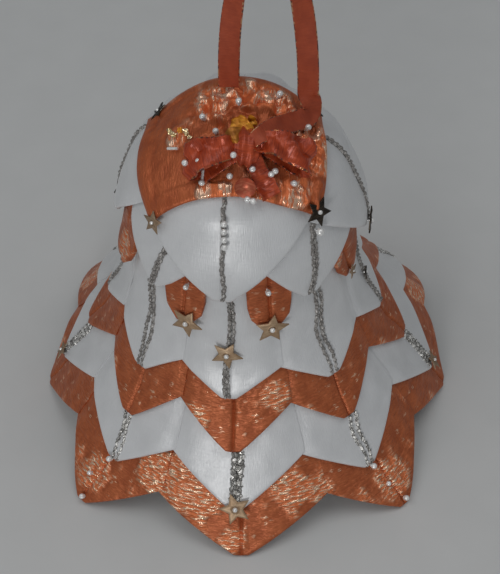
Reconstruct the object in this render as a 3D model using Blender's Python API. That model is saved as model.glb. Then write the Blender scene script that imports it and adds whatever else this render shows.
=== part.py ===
"""Fabric bell ornament: folded ribbon points in overlapping rows on a foam bell, under a square
cap, with star sequins, a ribbon bow and a hanging loop. Metres, +Z up, front towards -Y.

The bell line is the outline of the foam. A place on it is an arc length from the hem, and every
layer of cloth lies at a lift along the line's normal, one ply and one clearance above the last.
"""

import math
from typing import NamedTuple

import bpy
import numpy as np

# Foam bell
BASE_HEIGHT = 0.0080
SKIRT_RADIUS = 0.0426
WAIST_RADIUS = 0.0209
WAIST_HEIGHT = 0.0410
FLARE_POWER = 1.65
DOME_RADIUS = 0.0195
DOME_HEIGHT = 0.0510
CROWN_HEIGHT = 0.0775

# Cloth and the way it is laid
PLY = 0.0006
CLEARANCE = 0.0004
TUCK = 0.0020
SETTLE = 0.0090
BLUNT_TIP = 0.0024

# Rows of the skirt: arc length from the hem to the tips, and from the tips to the valleys
HEM_ORANGE_RISE = 0.0093
LOWER_WHITE_TIP = 0.0093
LOWER_WHITE_RISE = 0.0097
MIDDLE_ORANGE_TIP = 0.0215
MIDDLE_ORANGE_RISE = 0.0087
WAIST_WHITE_TIP = 0.0328
WAIST_WHITE_RISE = 0.0058

# Rows of the dome: arc length from the foot of the dome down to the tips
SHOULDER_ORANGE_DROP = 0.0091
SHOULDER_ORANGE_RISE = 0.0097
UNDER_WHITE_DROP = 0.0036
UNDER_WHITE_RISE = 0.0138
DOME_WHITE_DROP = 0.0011
DOME_WHITE_RISE = 0.0127
CAP_WIDTH = 0.0355
CAP_DEPTH = 0.0240

# Pinned by hand: each row's turn from the front in degrees, and the cap's turn and shifts
HEM_ORANGE_TURN = 3.3
LOWER_WHITE_TURN = 1.7
MIDDLE_ORANGE_TURN = 0.6
WAIST_WHITE_TURN = -1.3
SHOULDER_ORANGE_TURN = 19.4
UNDER_WHITE_TURN = 44.7
DOME_WHITE_TURN = -3.5
CAP_TURN = 1.9
CAP_LEFT = 0.0012
CAP_FRONT = 0.0059

# Seams, braid and stars
SEAM_WIDTH = 0.0009
SEAM_DEPTH = 0.00025
BRAID_WIDTH = 0.0024
BRAID_RISE = 0.0005
BRAID_FADE = 0.0015
STAR_RADIUS = 0.0034
STAR_WAIST = 0.0016
STAR_THICKNESS = 0.0004
STAR_BEAD_RADIUS = 0.0007
STAR_BEAD_HEIGHT = 0.0012
STAR_INSET = 0.0010

# Ribbon of the hanging loop and the bow
RIBBON_WIDTH = 0.0037
RIBBON_THICKNESS = 0.0005
LOOP_LEFT = 0.0015
LOOP_SPREAD = 0.0135
LOOP_RISE = 0.0290
LOOP_FULLNESS = 2.0
LOOP_STANDOFF = 0.0009
BOW_RIGHT = 0.0020
BOW_FRONT = 0.0105
BOW_LOOP_LENGTH = 0.0105
BOW_LOOP_HEIGHT = 0.0042
BOW_WIDTH = 0.0056
BOW_NECK_WIDTH = 0.0032
BOW_NECK_TURN = 0.75
KNOT_WIDTH = 0.0054
KNOT_DEPTH = 0.0056
KNOT_HEIGHT = 0.0036
TAIL_LENGTH = 0.0080
TAIL_START = 0.0009
LEFT_TAIL_DEGREES = -62
RIGHT_TAIL_DEGREES = 22
LEAD_START = 0.08
LEAD_LIFT_OFF = 0.4

# Fineness of the facets
LINE_POINTS = 400
CORE_SEGMENTS = 32
CORE_RINGS = 16
CAP_CELLS = 10
SECTION_LENGTH = 0.0036
TURN_STEPS = 32
LOOP_SECTIONS = 36
BOW_SECTIONS = 12
KNOT_RINGS = 7
KNOT_SIDES = 12
STAR_POINTS = 5
BEAD_RING_DEGREES = (0, 30, 60)

ORANGE = ((0.48, 0.10, 0.03), 0.42, 0.25)
WHITE = ((0.72, 0.72, 0.71), 0.45, 0.0)
FOAM = ((0.85, 0.85, 0.83), 0.9, 0.0)
GOLD = ((0.62, 0.42, 0.14), 0.25, 0.9)
RIBBON = ((0.42, 0.07, 0.03), 0.4, 0.0)


class Row(NamedTuple):
    """One ring of folded points: their count, the turn of the first from the front in degrees, the
    arc lengths of tip, valley and hidden top edge, and whether a braid covers the seam."""

    name: str
    count: int
    turn: float
    tip: float
    valley: float
    top: float
    braided: bool

    def turns(self):
        """Turn of each of its points about the axis, in radians."""
        return [2 * math.pi * i / self.count + math.radians(self.turn) for i in range(self.count)]


def clear_scene():
    for obj in list(bpy.data.objects):
        bpy.data.objects.remove(obj, do_unlink=True)


def bell_line():
    """Radius, height and outward normal against arc length from the hem to the crown.

    The flare is a power of the height left to the waist, the neck half a cosine wave and the dome
    a quarter ellipse. The line drops so that the innermost layer's hem tips stand at height 0.
    """
    climb = np.linspace(0, 1, LINE_POINTS)
    flare_r = WAIST_RADIUS + (SKIRT_RADIUS - WAIST_RADIUS) * (1 - climb) ** FLARE_POWER
    flare_z = WAIST_HEIGHT * climb
    neck_r = WAIST_RADIUS + (DOME_RADIUS - WAIST_RADIUS) * (1 - np.cos(math.pi * climb)) / 2
    neck_z = WAIST_HEIGHT + (DOME_HEIGHT - WAIST_HEIGHT) * climb
    dome_r = DOME_RADIUS * np.cos(climb * math.pi / 2)
    dome_z = DOME_HEIGHT + (CROWN_HEIGHT - DOME_HEIGHT) * np.sin(climb * math.pi / 2)
    radius = np.concatenate([flare_r, neck_r[1:], dome_r[1:]])
    height = np.concatenate([flare_z, neck_z[1:], dome_z[1:]])
    arc = np.concatenate([[0], np.cumsum(np.hypot(np.diff(radius), np.diff(height)))])
    out, up = np.gradient(height, arc), -np.gradient(radius, arc)
    return {"arc": arc, "r": radius, "z": height - CLEARANCE * up[0], "out": out, "up": up}


def on_bell(arc, lift):
    """Radius and height of places on the bell line, moved out by lift along its normal."""
    at = {key: np.interp(arc, LINE["arc"], LINE[key]) for key in ("r", "z", "out", "up")}
    return at["r"] + at["out"] * lift, at["z"] + at["up"] * lift


def arc_at_height(height):
    return float(np.interp(height, LINE["z"], LINE["arc"]))


def inner_lift(arc, rows_below):
    """Lift of a cloth's inner face: one ply and clearance for each row that is still under it.

    A row counts in full up to a clearance past its top edge, and beyond that settles to nothing
    along a smooth step, 3 t squared less 2 t cubed.
    """
    layers = np.zeros_like(arc)
    for row in rows_below:
        past = np.clip((arc - row.top - CLEARANCE) / SETTLE, 0, 1)
        layers += 1 - past * past * (3 - 2 * past)
    return CLEARANCE + layers * (PLY + CLEARANCE)


def plan_rows():
    """The rows from the hem up. Each top edge tucks under the valleys of the row above."""
    foot = arc_at_height(DOME_HEIGHT)
    drops = (SHOULDER_ORANGE_DROP, UNDER_WHITE_DROP, DOME_WHITE_DROP)
    shoulder, under, dome = (foot - drop for drop in drops)
    plan = [
        ("hem_orange", 8, HEM_ORANGE_TURN, 0.0, HEM_ORANGE_RISE, False),
        ("lower_white", 8, LOWER_WHITE_TURN, LOWER_WHITE_TIP, LOWER_WHITE_RISE, True),
        ("middle_orange", 8, MIDDLE_ORANGE_TURN, MIDDLE_ORANGE_TIP, MIDDLE_ORANGE_RISE, False),
        ("waist_white", 8, WAIST_WHITE_TURN, WAIST_WHITE_TIP, WAIST_WHITE_RISE, True),
        ("shoulder_orange", 8, SHOULDER_ORANGE_TURN, shoulder, SHOULDER_ORANGE_RISE, False),
        ("under_white", 4, UNDER_WHITE_TURN, under, UNDER_WHITE_RISE, True),
        ("dome_white", 4, DOME_WHITE_TURN, dome, DOME_WHITE_RISE, True),
    ]
    crown = LINE["arc"][-1] - CAP_DEPTH / 2 + CAP_FRONT
    covers = [tip + rise for _, _, _, tip, rise, _ in plan[1:]] + [crown]
    return [
        Row(f"{name}_point", count, turn, tip, tip + rise, cover + TUCK, braided)
        for (name, count, turn, tip, rise, braided), cover in zip(plan, covers)
    ]


def material(name, finish):
    colour, roughness, metallic = finish
    made = bpy.data.materials.new(name)
    made.use_nodes = True
    shader = made.node_tree.nodes["Principled BSDF"]
    shader.inputs["Base Color"].default_value = (*colour, 1)
    shader.inputs["Roughness"].default_value = roughness
    shader.inputs["Metallic"].default_value = metallic
    return made


def mesh_from(name, points, faces, finish, smooth_degrees=35):
    mesh = bpy.data.meshes.new(name)
    mesh.from_pydata([tuple(p) for p in points], [], [tuple(f) for f in faces])
    mesh.materials.append(material(name, finish))
    mesh.shade_smooth()
    mesh.set_sharp_from_angle(angle=math.radians(smooth_degrees))
    return mesh


def add_object(name, mesh, parent):
    obj = bpy.data.objects.new(name, mesh)
    bpy.context.scene.collection.objects.link(obj)
    obj.parent = parent
    return obj


def shell_faces(rows, columns):
    """Faces of a closed shell: an outer grid, an inner grid after it, and the rim between them."""
    index = np.arange(rows * columns).reshape(rows, columns)
    a, b, c, d = index[:-1, :-1], index[:-1, 1:], index[1:, 1:], index[1:, :-1]
    outer = np.stack([a, b, c, d], -1).reshape(-1, 4)
    inner = np.stack([d, c, b, a], -1).reshape(-1, 4) + rows * columns
    edge = np.concatenate([index[0], index[1:, -1], index[-1, -2::-1], index[-2:0:-1, 0]])
    ahead = np.roll(edge, -1)
    rim = np.stack([ahead, edge, edge + rows * columns, ahead + rows * columns], -1)
    return np.concatenate([outer, inner, rim]).tolist()


def point_columns(row, half_width):
    """A point's columns as shares of its half width: even steps either side of seam or braid."""
    seam = (BRAID_WIDTH if row.braided else SEAM_WIDTH) / 2 / half_width
    side = np.linspace(seam, 1, 1 + TURN_STEPS // 2 // row.count)
    return np.concatenate([-side[::-1], [0.0], side])


def folded_point(row, rows_below, braid_end):
    """Mesh of one folded point at the front: a shell of one ply that hangs from a hidden straight
    top edge, with two folded edges that run from the valleys to a blunt tip, and either a groove
    for the seam or a braid's ridge laid over it as far as the next row's tip."""
    length = row.top - row.tip
    sections = math.ceil(length / SECTION_LENGTH)
    marks = np.linspace(0, 1, sections + 1)
    if row.braided:
        stop = (braid_end - row.tip) / length
        covered = np.linspace(0, stop - BRAID_FADE / length, max(2, round(sections * stop)))
        beyond = np.linspace(stop, 1, max(2, round(sections * (1 - stop)) + 1))
        marks = np.concatenate([covered, beyond])
    half_width = math.pi / row.count * float(on_bell(row.tip, 0)[0])
    across = point_columns(row, half_width)
    blunt = BLUNT_TIP / 2 / half_width
    share = np.clip((np.abs(across) - blunt) / (1 - blunt), 0, 1)
    low = row.tip + (row.valley - row.tip) * share
    arc = low + marks[:, None] * (row.top - low)
    lift = inner_lift(arc, rows_below)
    middle = len(across) // 2
    raised = np.zeros_like(arc)
    raised[:, middle] = np.where(marks < stop, BRAID_RISE, 0) if row.braided else -SEAM_DEPTH
    shells = []
    for height in (lift + PLY + raised, lift):
        radius, level = on_bell(arc, height)
        turn = across * (math.pi / row.count - CLEARANCE / 2 / radius)
        shells.append(np.stack([radius * np.sin(turn), -radius * np.cos(turn), level], -1))
    points = np.concatenate([shell.reshape(-1, 3) for shell in shells])
    finish = WHITE if row.braided else ORANGE
    return mesh_from(row.name, points, shell_faces(*arc.shape), finish)


def add_rows(parent):
    """The rows of folded points, each point its own object turned about the bell's axis."""
    rows = {row.name: row for row in ROWS}
    under, dome = rows["under_white_point"], rows["dome_white_point"]
    clear_of_dome = dome.valley - BRAID_WIDTH - PLY
    ends = {
        "lower_white_point": [rows["middle_orange_point"].tip],
        "waist_white_point": [dome.tip, under.tip],
        "under_white_point": [min(cap_arc(turn), clear_of_dome) for turn in under.turns()],
        "dome_white_point": [cap_arc(turn) for turn in dome.turns()],
    }
    for number, row in enumerate(ROWS):
        stops = [end - CLEARANCE for end in ends.get(row.name, [row.top])]
        meshes = [folded_point(row, ROWS[:number], stop) for stop in stops]
        for i, turn in enumerate(row.turns()):
            obj = add_object(f"{row.name}_{i + 1}", meshes[i % len(meshes)], parent)
            obj.rotation_euler.z = turn


def add_foam_core(parent):
    """The foam bell: its half outline turned about the axis, open to view only underneath."""
    base = arc_at_height(BASE_HEIGHT)
    radius, level = on_bell(np.linspace(LINE["arc"][-1], base, CORE_RINGS), 0.0)
    outline = [(r, 0, z) for r, z in zip(radius, level)] + [(0, 0, level[-1])]
    outline[0] = (0, 0, level[0])
    mesh = bpy.data.meshes.new("foam_core")
    mesh.from_pydata(outline, [(i, i + 1) for i in range(len(outline) - 1)], [])
    mesh.materials.append(material("foam_core", FOAM))
    turned = add_object("foam_core", mesh, parent).modifiers.new("turn", "SCREW")
    turned.steps = turned.render_steps = CORE_SEGMENTS
    turned.use_merge_vertices = True
    turned.merge_threshold = 0.00001


def on_cap(right, back, height):
    """World places over the cap: cloth coordinates measured from the crown, laid along the dome."""
    right, back, height = np.broadcast_arrays(right, back, height)
    away = np.hypot(right, back)
    arc = LINE["arc"][-1] - away
    radius, level = on_bell(arc, inner_lift(arc, ROWS) + PLY + height)
    share = radius / np.maximum(away, 1e-9)
    return np.stack([right * share, back * share, level], -1)


def as_pinned(right, back):
    """Places on the cap's own cloth as it lies: shifted to the left and the front, then turned."""
    turn = math.radians(CAP_TURN)
    right, back = right - CAP_LEFT, back - CAP_FRONT
    turned = right * math.cos(turn) - back * math.sin(turn)
    return turned, right * math.sin(turn) + back * math.cos(turn)


def cap_arc(turn):
    """Arc length at which the cap's edge crosses a turn about the axis: the nearer of its sides."""
    right, back = math.sin(turn - math.radians(CAP_TURN)), -math.cos(turn - math.radians(CAP_TURN))
    to_side = (math.copysign(CAP_WIDTH / 2, right) - CAP_LEFT) / right
    to_end = (math.copysign(CAP_DEPTH / 2, back) - CAP_FRONT) / back
    return LINE["arc"][-1] - min(to_side, to_end)


def add_crown_cap(parent):
    """A cloth over the crown, its corners between the dome's four white points."""
    across = np.linspace(-CAP_WIDTH / 2, CAP_WIDTH / 2, CAP_CELLS + 1)
    along = np.linspace(-CAP_DEPTH / 2, CAP_DEPTH / 2, CAP_CELLS + 1)
    right, back = as_pinned(*np.meshgrid(across, along))
    points = [on_cap(right, back, height).reshape(-1, 3) for height in (0.0, -PLY)]
    faces = shell_faces(*right.shape)
    add_object("crown_cap", mesh_from("crown_cap", np.concatenate(points), faces, ORANGE), parent)


def star_mesh():
    """A star sequin with the head of its pin on it: rings of corners up from the XY plane, with
    the outline first and then half an ellipsoid for the bead."""
    around = np.arange(2 * STAR_POINTS)
    angle = around * math.pi / STAR_POINTS
    outline = np.where(around % 2 == 0, STAR_RADIUS, STAR_WAIST)
    rings = [(outline, 0.0), (outline, STAR_THICKNESS)]
    for polar in np.radians(BEAD_RING_DEGREES):
        level = STAR_THICKNESS + STAR_BEAD_HEIGHT * math.sin(polar)
        rings.append((np.full(len(around), STAR_BEAD_RADIUS * math.cos(polar)), level))
    points = [np.stack([r * np.sin(angle), r * np.cos(angle), 0 * angle + z], -1) for r, z in rings]
    points = np.concatenate([*points, [[0, 0, 0], [0, 0, STAR_THICKNESS + STAR_BEAD_HEIGHT]]])
    underside, summit = len(points) - 2, len(points) - 1
    last = len(around) * (len(rings) - 1)
    faces = []
    for a, b in zip(around, np.roll(around, -1)):
        faces.append((underside, a, b))
        faces.append((summit, last + b, last + a))
        for low in range(0, last, len(around)):
            high = low + len(around)
            faces.append((low + a, high + a, high + b, low + b))
    return mesh_from("star", points, faces, GOLD)


def add_star(name, mesh, arc, lift, turn, parent):
    """A star seated flat on the cloth at an arc length, with a point towards the crown."""
    radius, level = on_bell(np.array([arc]), np.array([lift]))
    out, up = (float(np.interp(arc, LINE["arc"], LINE[key])) for key in ("out", "up"))
    star = add_object(name, mesh, parent)
    star.location = (radius[0] * math.sin(turn), -radius[0] * math.cos(turn), level[0])
    star.rotation_euler = (math.atan2(out, up), 0, turn)


def add_stars(parent):
    """Stars on the cap's corners, and on four tips of the lower white row."""
    mesh = star_mesh()
    across, along = CAP_WIDTH / 2 - STAR_INSET, CAP_DEPTH / 2 - STAR_INSET
    lower = ROWS[1]
    low_seat = float(inner_lift(np.array([lower.tip]), ROWS[:1])[0]) + PLY + BRAID_RISE + CLEARANCE
    for i, (right, back) in enumerate(((1, -1), (1, 1), (-1, 1), (-1, -1))):
        right, back = as_pinned(across * right, along * back)
        arc = LINE["arc"][-1] - math.hypot(right, back)
        seat = float(inner_lift(np.array([arc]), ROWS)[0]) + PLY + CLEARANCE
        add_star(f"cap_star_{i + 1}", mesh, arc, seat, math.atan2(right, -back), parent)
        add_star(f"skirt_star_{i + 1}", mesh, lower.tip, low_seat, lower.turns()[2 * i], parent)


def ribbon_strip(name, centres, faces_to, widths, thickness):
    """Mesh of a flat strip along centres: faces_to is the way its face looks at each centre."""
    along = np.gradient(centres, axis=0)
    along /= np.linalg.norm(along, axis=1)[:, None]
    side = np.cross(along, faces_to)
    side /= np.linalg.norm(side, axis=1)[:, None]
    face = np.cross(side, along)
    corners = ((-1, -1), (1, -1), (1, 1), (-1, 1))
    half = np.asarray(widths)[:, None] / 2
    ring = [centres + side * half * s + face * thickness / 2 * f for s, f in corners]
    points = np.stack(ring, 1).reshape(-1, 3)
    count = len(centres)
    faces = [(4 * i + 4 + k, 4 * i + 4 + (k + 1) % 4, 4 * i + (k + 1) % 4, 4 * i + k)
             for i in range(count - 1) for k in range(4)]
    faces += [(0, 1, 2, 3), tuple(4 * count - 1 - k for k in range(4))]
    return mesh_from(name, points, faces, RIBBON)


def loop_pivot_height():
    """Height of the line about which the loop folds over, just above the crown of the cap."""
    return float(on_cap(0.0, 0.0, 0.0)[2]) + LOOP_STANDOFF


def add_hanging_loop(parent):
    """The hanging ribbon: half a superellipse over its two feet, its face to the front at the feet
    and turned outwards over the top. Its origin is on the line about which it folds over."""
    angle = np.linspace(math.pi, 0, LOOP_SECTIONS)
    rise = np.sin(angle).clip(0) ** (2 / LOOP_FULLNESS)
    reach = np.sign(np.cos(angle)) * np.abs(np.cos(angle)) ** (2 / LOOP_FULLNESS)
    centres = np.stack([reach * LOOP_SPREAD / 2, np.zeros_like(angle), rise * LOOP_RISE], -1)
    over = np.sin(angle).clip(0)[:, None] ** 2
    outward = np.stack([reach, np.zeros_like(angle), rise], -1)
    faces_to = (1 - over) * np.array([0.0, -1.0, 0.0]) + over * outward
    widths = np.full(LOOP_SECTIONS, RIBBON_WIDTH)
    mesh = ribbon_strip("hanging_loop", centres, faces_to, widths, RIBBON_THICKNESS)
    loop = add_object("hanging_loop", mesh, parent)
    loop.location = (LOOP_SPREAD / 2 - LOOP_LEFT, 0, loop_pivot_height())


def bow_middle():
    """Height over the cap at which the loops meet in the knot."""
    return CLEARANCE + max(BOW_LOOP_HEIGHT, KNOT_HEIGHT) / 2


def bow_loop(side):
    """One loop of the bow: the teardrop sin t sin t/2 drawn out from the knot and laid on the cap."""
    turn = np.linspace(BOW_NECK_TURN, 2 * math.pi - BOW_NECK_TURN, BOW_SECTIONS + 4)
    right = BOW_RIGHT + side * BOW_LOOP_LENGTH * (1 - np.cos(turn)) / 2
    teardrop = np.sin(turn) * np.sin(turn / 2)
    swell = (BOW_LOOP_HEIGHT - RIBBON_THICKNESS) / 2 * teardrop / teardrop.max()
    centres = on_cap(right, -BOW_FRONT, bow_middle() + swell)
    breadth = on_cap(right, -BOW_FRONT + PLY, bow_middle() + swell) - centres
    faces_to = np.cross(breadth, np.gradient(centres, axis=0))
    widths = BOW_NECK_WIDTH + (BOW_WIDTH - BOW_NECK_WIDTH) * np.sin(turn / 2) ** 2
    return ribbon_strip("bow_loop", centres, faces_to, widths, RIBBON_THICKNESS)


def bow_tail(degrees):
    """One tail of the bow, from inside the knot down over the front of the cap."""
    along = np.linspace(TAIL_START / TAIL_LENGTH, 1, BOW_SECTIONS)
    heading = math.radians(degrees)
    right = BOW_RIGHT + TAIL_LENGTH * along * math.sin(heading)
    back = -BOW_FRONT - TAIL_LENGTH * along * math.cos(heading)
    height = CLEARANCE + RIBBON_THICKNESS / 2 + KNOT_HEIGHT / 2 * (1 - along) ** 3
    centres = on_cap(right, back, height)
    faces_to = on_cap(right, back, height + PLY) - centres
    widths = np.full(BOW_SECTIONS, RIBBON_WIDTH)
    return ribbon_strip("bow_tail", centres, faces_to, widths, RIBBON_THICKNESS)


def bow_lead():
    """The stretch of ribbon from the knot over the cap to the right foot of the hanging loop.

    It slows to a stop across the cap while it rises, so that it ends upright under the loop.
    """
    along = np.linspace(LEAD_START, 1, BOW_SECTIONS)
    right_foot = LOOP_SPREAD - LOOP_LEFT
    foot = np.array([right_foot, 0, loop_pivot_height() - CLEARANCE])
    reach = LINE["arc"][-1] - float(np.interp(-right_foot, -LINE["r"], LINE["arc"]))
    across = 1 - (1 - along) ** 2
    right = BOW_RIGHT + (reach - BOW_RIGHT) * across
    back = -BOW_FRONT * (1 - across)
    height = CLEARANCE + RIBBON_THICKNESS / 2 + KNOT_HEIGHT / 2 * (1 - across) ** 3
    laid = on_cap(right, back, height)
    rising = np.clip((along - LEAD_LIFT_OFF) / (1 - LEAD_LIFT_OFF), 0, 1)[:, None] ** 2
    upright = foot - np.array([0.0, 0.0, 2 * RIBBON_THICKNESS])
    centres = np.concatenate([laid + rising * (upright - laid[-1]), [foot]])
    normal = on_cap(right, back, height + PLY) - laid
    normal /= np.linalg.norm(normal, axis=1)[:, None]
    front = np.array([0.0, -1.0, 0.0])
    faces_to = np.concatenate([normal * (1 - rising) + rising * front, [front]])
    widths = np.full(len(centres), RIBBON_WIDTH)
    return ribbon_strip("bow_lead", centres, faces_to, widths, RIBBON_THICKNESS)


def bow_knot():
    """The knot: an ellipsoid in cloth coordinates, flat side to the cap."""
    polar = np.linspace(0, math.pi, KNOT_RINGS + 2)[1:-1, None]
    turn = np.arange(KNOT_SIDES) * 2 * math.pi / KNOT_SIDES
    spread = np.sin(polar)
    right = BOW_RIGHT + KNOT_WIDTH / 2 * spread * np.cos(turn)
    back = -BOW_FRONT + KNOT_DEPTH / 2 * spread * np.sin(turn)
    height = bow_middle() + KNOT_HEIGHT / 2 * (np.cos(polar) + 0 * turn)
    poles = [on_cap(BOW_RIGHT, -BOW_FRONT, bow_middle() + h * KNOT_HEIGHT / 2) for h in (1, -1)]
    points = np.concatenate([on_cap(right, back, height).reshape(-1, 3), poles])
    top, bottom = len(points) - 2, len(points) - 1
    faces = []
    last = KNOT_SIDES * (KNOT_RINGS - 1)
    for k in range(KNOT_SIDES):
        ahead = (k + 1) % KNOT_SIDES
        faces.append((top, k, ahead))
        faces.append((bottom, last + ahead, last + k))
        for upper in range(0, last, KNOT_SIDES):
            lower = upper + KNOT_SIDES
            faces.append((upper + k, lower + k, lower + ahead, upper + ahead))
    return mesh_from("ribbon_bow", points, faces, RIBBON)


def add_bow(parent):
    """The bow: loops, tails and the lead to the hanging loop, joined to the knot as one ribbon."""
    bow = add_object("ribbon_bow", bow_knot(), parent)
    tails = [bow_tail(LEFT_TAIL_DEGREES), bow_tail(RIGHT_TAIL_DEGREES)]
    pieces = [bow_loop(-1), bow_loop(1), *tails, bow_lead()]
    for number, mesh in enumerate(pieces):
        piece = add_object(f"bow_piece_{number + 1}", mesh, parent)
        piece.hide_render = True
        piece.display_type = "WIRE"
        joined = bow.modifiers.new(f"join_{number + 1}", "BOOLEAN")
        joined.operation = "UNION"
        joined.solver = "EXACT"
        joined.object = piece


clear_scene()
LINE = bell_line()
ROWS = plan_rows()
BELL = add_object("bell_ornament", None, None)
add_foam_core(BELL)
add_rows(BELL)
add_crown_cap(BELL)
add_stars(BELL)
add_bow(BELL)
add_hanging_loop(BELL)
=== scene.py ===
"""Looks of the fabric bell ornament: folded cloth points, braid, sequins, pins, bow and loop.

Metres, +Z up, front towards -Y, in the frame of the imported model. Most pieces lie on the bell
line, the outline of the foam: a place on it is an arc length from the hem, a turn about the axis
from the front, and a lift along the line's normal.
"""

import math
from typing import NamedTuple

import bpy
import numpy as np
from mathutils import Matrix


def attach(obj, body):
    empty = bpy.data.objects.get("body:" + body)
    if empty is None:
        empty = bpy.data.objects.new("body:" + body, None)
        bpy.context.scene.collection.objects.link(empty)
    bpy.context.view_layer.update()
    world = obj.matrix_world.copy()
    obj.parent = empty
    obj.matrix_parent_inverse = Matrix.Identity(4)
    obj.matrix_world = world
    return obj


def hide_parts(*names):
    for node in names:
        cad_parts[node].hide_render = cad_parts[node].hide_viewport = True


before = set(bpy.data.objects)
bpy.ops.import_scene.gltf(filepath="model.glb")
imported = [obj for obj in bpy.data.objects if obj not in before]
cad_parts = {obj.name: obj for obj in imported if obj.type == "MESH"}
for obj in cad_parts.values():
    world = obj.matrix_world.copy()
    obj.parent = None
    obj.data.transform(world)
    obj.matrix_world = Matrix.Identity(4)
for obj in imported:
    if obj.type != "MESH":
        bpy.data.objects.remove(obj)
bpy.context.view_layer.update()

# Camera
CAMERA_AZIMUTH = math.radians(5.7)
CAMERA_ELEVATION = math.radians(46.8)
CAMERA_ROLL = math.radians(-1.45)
CAMERA_DISTANCE = 0.257
CAMERA_LENS_MM = 81.1
CAMERA_SENSOR_MM = 36.0
TARGET_HEIGHT = 0.0298
TARGET_RIGHT = 0.0012

# Foam bell
SKIRT_RADIUS = 0.0426
WAIST_RADIUS = 0.0209
WAIST_HEIGHT = 0.0410
FLARE_POWER = 1.65
DOME_RADIUS = 0.0195
DOME_HEIGHT = 0.0510
CROWN_HEIGHT = 0.0775
LINE_POINTS = 400
HEM_SPARE = 0.0030

# Cloth and the way it is laid
PLY = 0.0006
CLEARANCE = 0.0004
TUCK = 0.0020
SETTLE = 0.0090
FOLD_ROUND = 0.0005
SHARP_ANGLE = math.radians(50)

# Folded points
BLUNT_TIP = 0.0024
OVERLAP = 0.05
TIP_VARIES = 0.00025
VALLEY_VARIES = 0.0003
EDGE_BOW = 0.0004
FOLD_THICKNESS = 0.0007
FOLD_MIDDLE = 0.0002
SIDES_FROM = 0.72
LEFT_THINNED = 0.00045
RIGHT_THINNED = 0.00050
LEFT_SUNK = 0.00022
RIGHT_RAISED = 0.00003
FLARE_LENGTH = 0.0110
FLARE_FROM = 0.2
PLUMP = 0.00016
PLUMP_VARIES = 0.00005
PLUMP_BEHIND = 0.0012
CREASED_FROM = 0.0002
CREASED_FULLY = 0.0018
GROOVE_WIDTH = 0.00028
GROOVE_SPREAD = 0.0011

# Pleats beside the seams of the hem's tips
PLEAT_ASIDE = 0.0017
PLEAT_WIDTH = 0.00024
PLEAT_DEPTH = 0.00034
PLEAT_FADES = 0.0022
PLEAT_ENDS = 0.0042

# The tongues that the shoulder row's points are folded into
TONGUES = "shoulder_orange_point"
TONGUE_SHARE = 0.37
TONGUE_CORNER = 0.05
TONGUE_RISE = 0.0030

# Rear corners of the skirt, which stand out further than the front ones
REAR_SPREAD = 0.0068
REAR_TURN = math.radians(131)
REAR_WIDTH = math.radians(28)
REAR_TOP = 0.050

# Crown cap, and the way its pins draw it in
CAP_WIDTH = 0.0355
CAP_DEPTH = 0.0240
CAP_TURN = math.radians(1.9)
CAP_LEFT = 0.0012
CAP_FRONT = 0.0059
CAP_MIDDLE = -0.00025
CAP_THICKNESS = 0.00064
HEM_WIDTH = 0.0030
HEM_PLY = 0.00018
BUNCHED_RIGHT = 0.0030
BUNCHED_BACK = 0.0035
BUNCHED_RADII = (0.0045, 0.0085)
BORDER_RIGHT = (0.0090, 0.0130)
BORDER_FRONT = (-0.0080, -0.0030)
CAP_PLEAT = 0.0026
LEFT_CORNER_DRAWN = 0.0012
LEFT_CORNER_RADIUS = 0.0055
REAR_CORNERS_DRAWN = (0.0018, 0.0015)
REAR_CORNERS_RADIUS = 0.0080
REAR_EDGE_DRAWN = 0.0021

# Satin that puffs up behind the cap: each hump's place to the right, its width and its share of the rise
PUFFS = [(0.0052, 0.0032, 1.0), (-0.0042, 0.0034, 0.7)]
PUFF_RISE = 0.0011
PUFF_GROWS = (-0.0005, 0.0030)
PUFF_FADES = (0.0045, 0.0100)

# Braid: each strand's place beside the seam and its width
BRAID_RISE = 0.0005
BRAID_PITCH = 0.0010
BRAID_SEAT = 0.00052
BRAID_SUNK = 0.0002
BRAID_STEP = 0.00016
BRAID_START = 0.0003
BRAID_TUCK = 0.0008
REAR_BRAID_TOP = 0.0150
WIDE_BRAID = [(-0.0006, 0.0012), (0.0006, 0.0012)]
OPEN_BRAID = [(-0.00056, 0.00066), (0.00056, 0.00066)]
CLOSE_BRAID = [(-0.00028, 0.00062), (0.00030, 0.00062)]
NARROW_BRAID = [(0, 0.0007)]

# Star sequins
STAR_RADIUS = 0.0034
STAR_WAIST = 0.0016
STAR_INSET = 0.0010
STAR_UP = 0.0006
WAIST_STAR_UP = 0.0100

# Pins
PIN_RADIUS = 0.00075
PIN_SHAFT = 0.00022
PIN_COLLAR = 0.00046
PIN_LIFT = 0.0012
ROD_RADIUS = 0.00026
ROD_LIFT = 0.0011
HEM_TIP_PIN = (0.0012, 0.0004)
HEM_SEAM_PIN = (0.0058, -0.0012)
SHOULDER_PIN_UP = 0.0098
CORNER_PIN_ARC = 0.0675
CORNER_PIN_TURN = math.radians(42.7)
DOME_PIN_ARCS = (0.0681, 0.0693, 0.0706, 0.0718)

# Ribbon, hanging loop and bow
RIBBON_WIDTH = 0.0037
RIBBON_THICKNESS = 0.0005
RIBBON_CRUMPLES = 0.0034
LOOP_LEFT = 0.0015
LOOP_SPREAD = 0.0135
LOOP_RISE = 0.0290
LOOP_FULLNESS = 2.0
LOOP_STANDOFF = 0.0009
BOW_RIGHT = 0.0020
BOW_FRONT = 0.0105
BOW_LIFT = 0.0024
BOW_SWELL = 0.0019
BOW_NARROW = 0.0034
BOW_WIDE = 0.0062
LEFT_LOOP_REACH = 0.0086
RIGHT_LOOP_REACH = 0.0098
TAIL_LENGTH = 0.0080
KNOT_RIGHT = 0.0023
KNOT_BACK = 0.0027
KNOT_RISE = 0.0018
KNOT_LIFT = 0.0021
LEAD_LIFT = 0.0034
LEAD_TUCK = 0.0016

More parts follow.
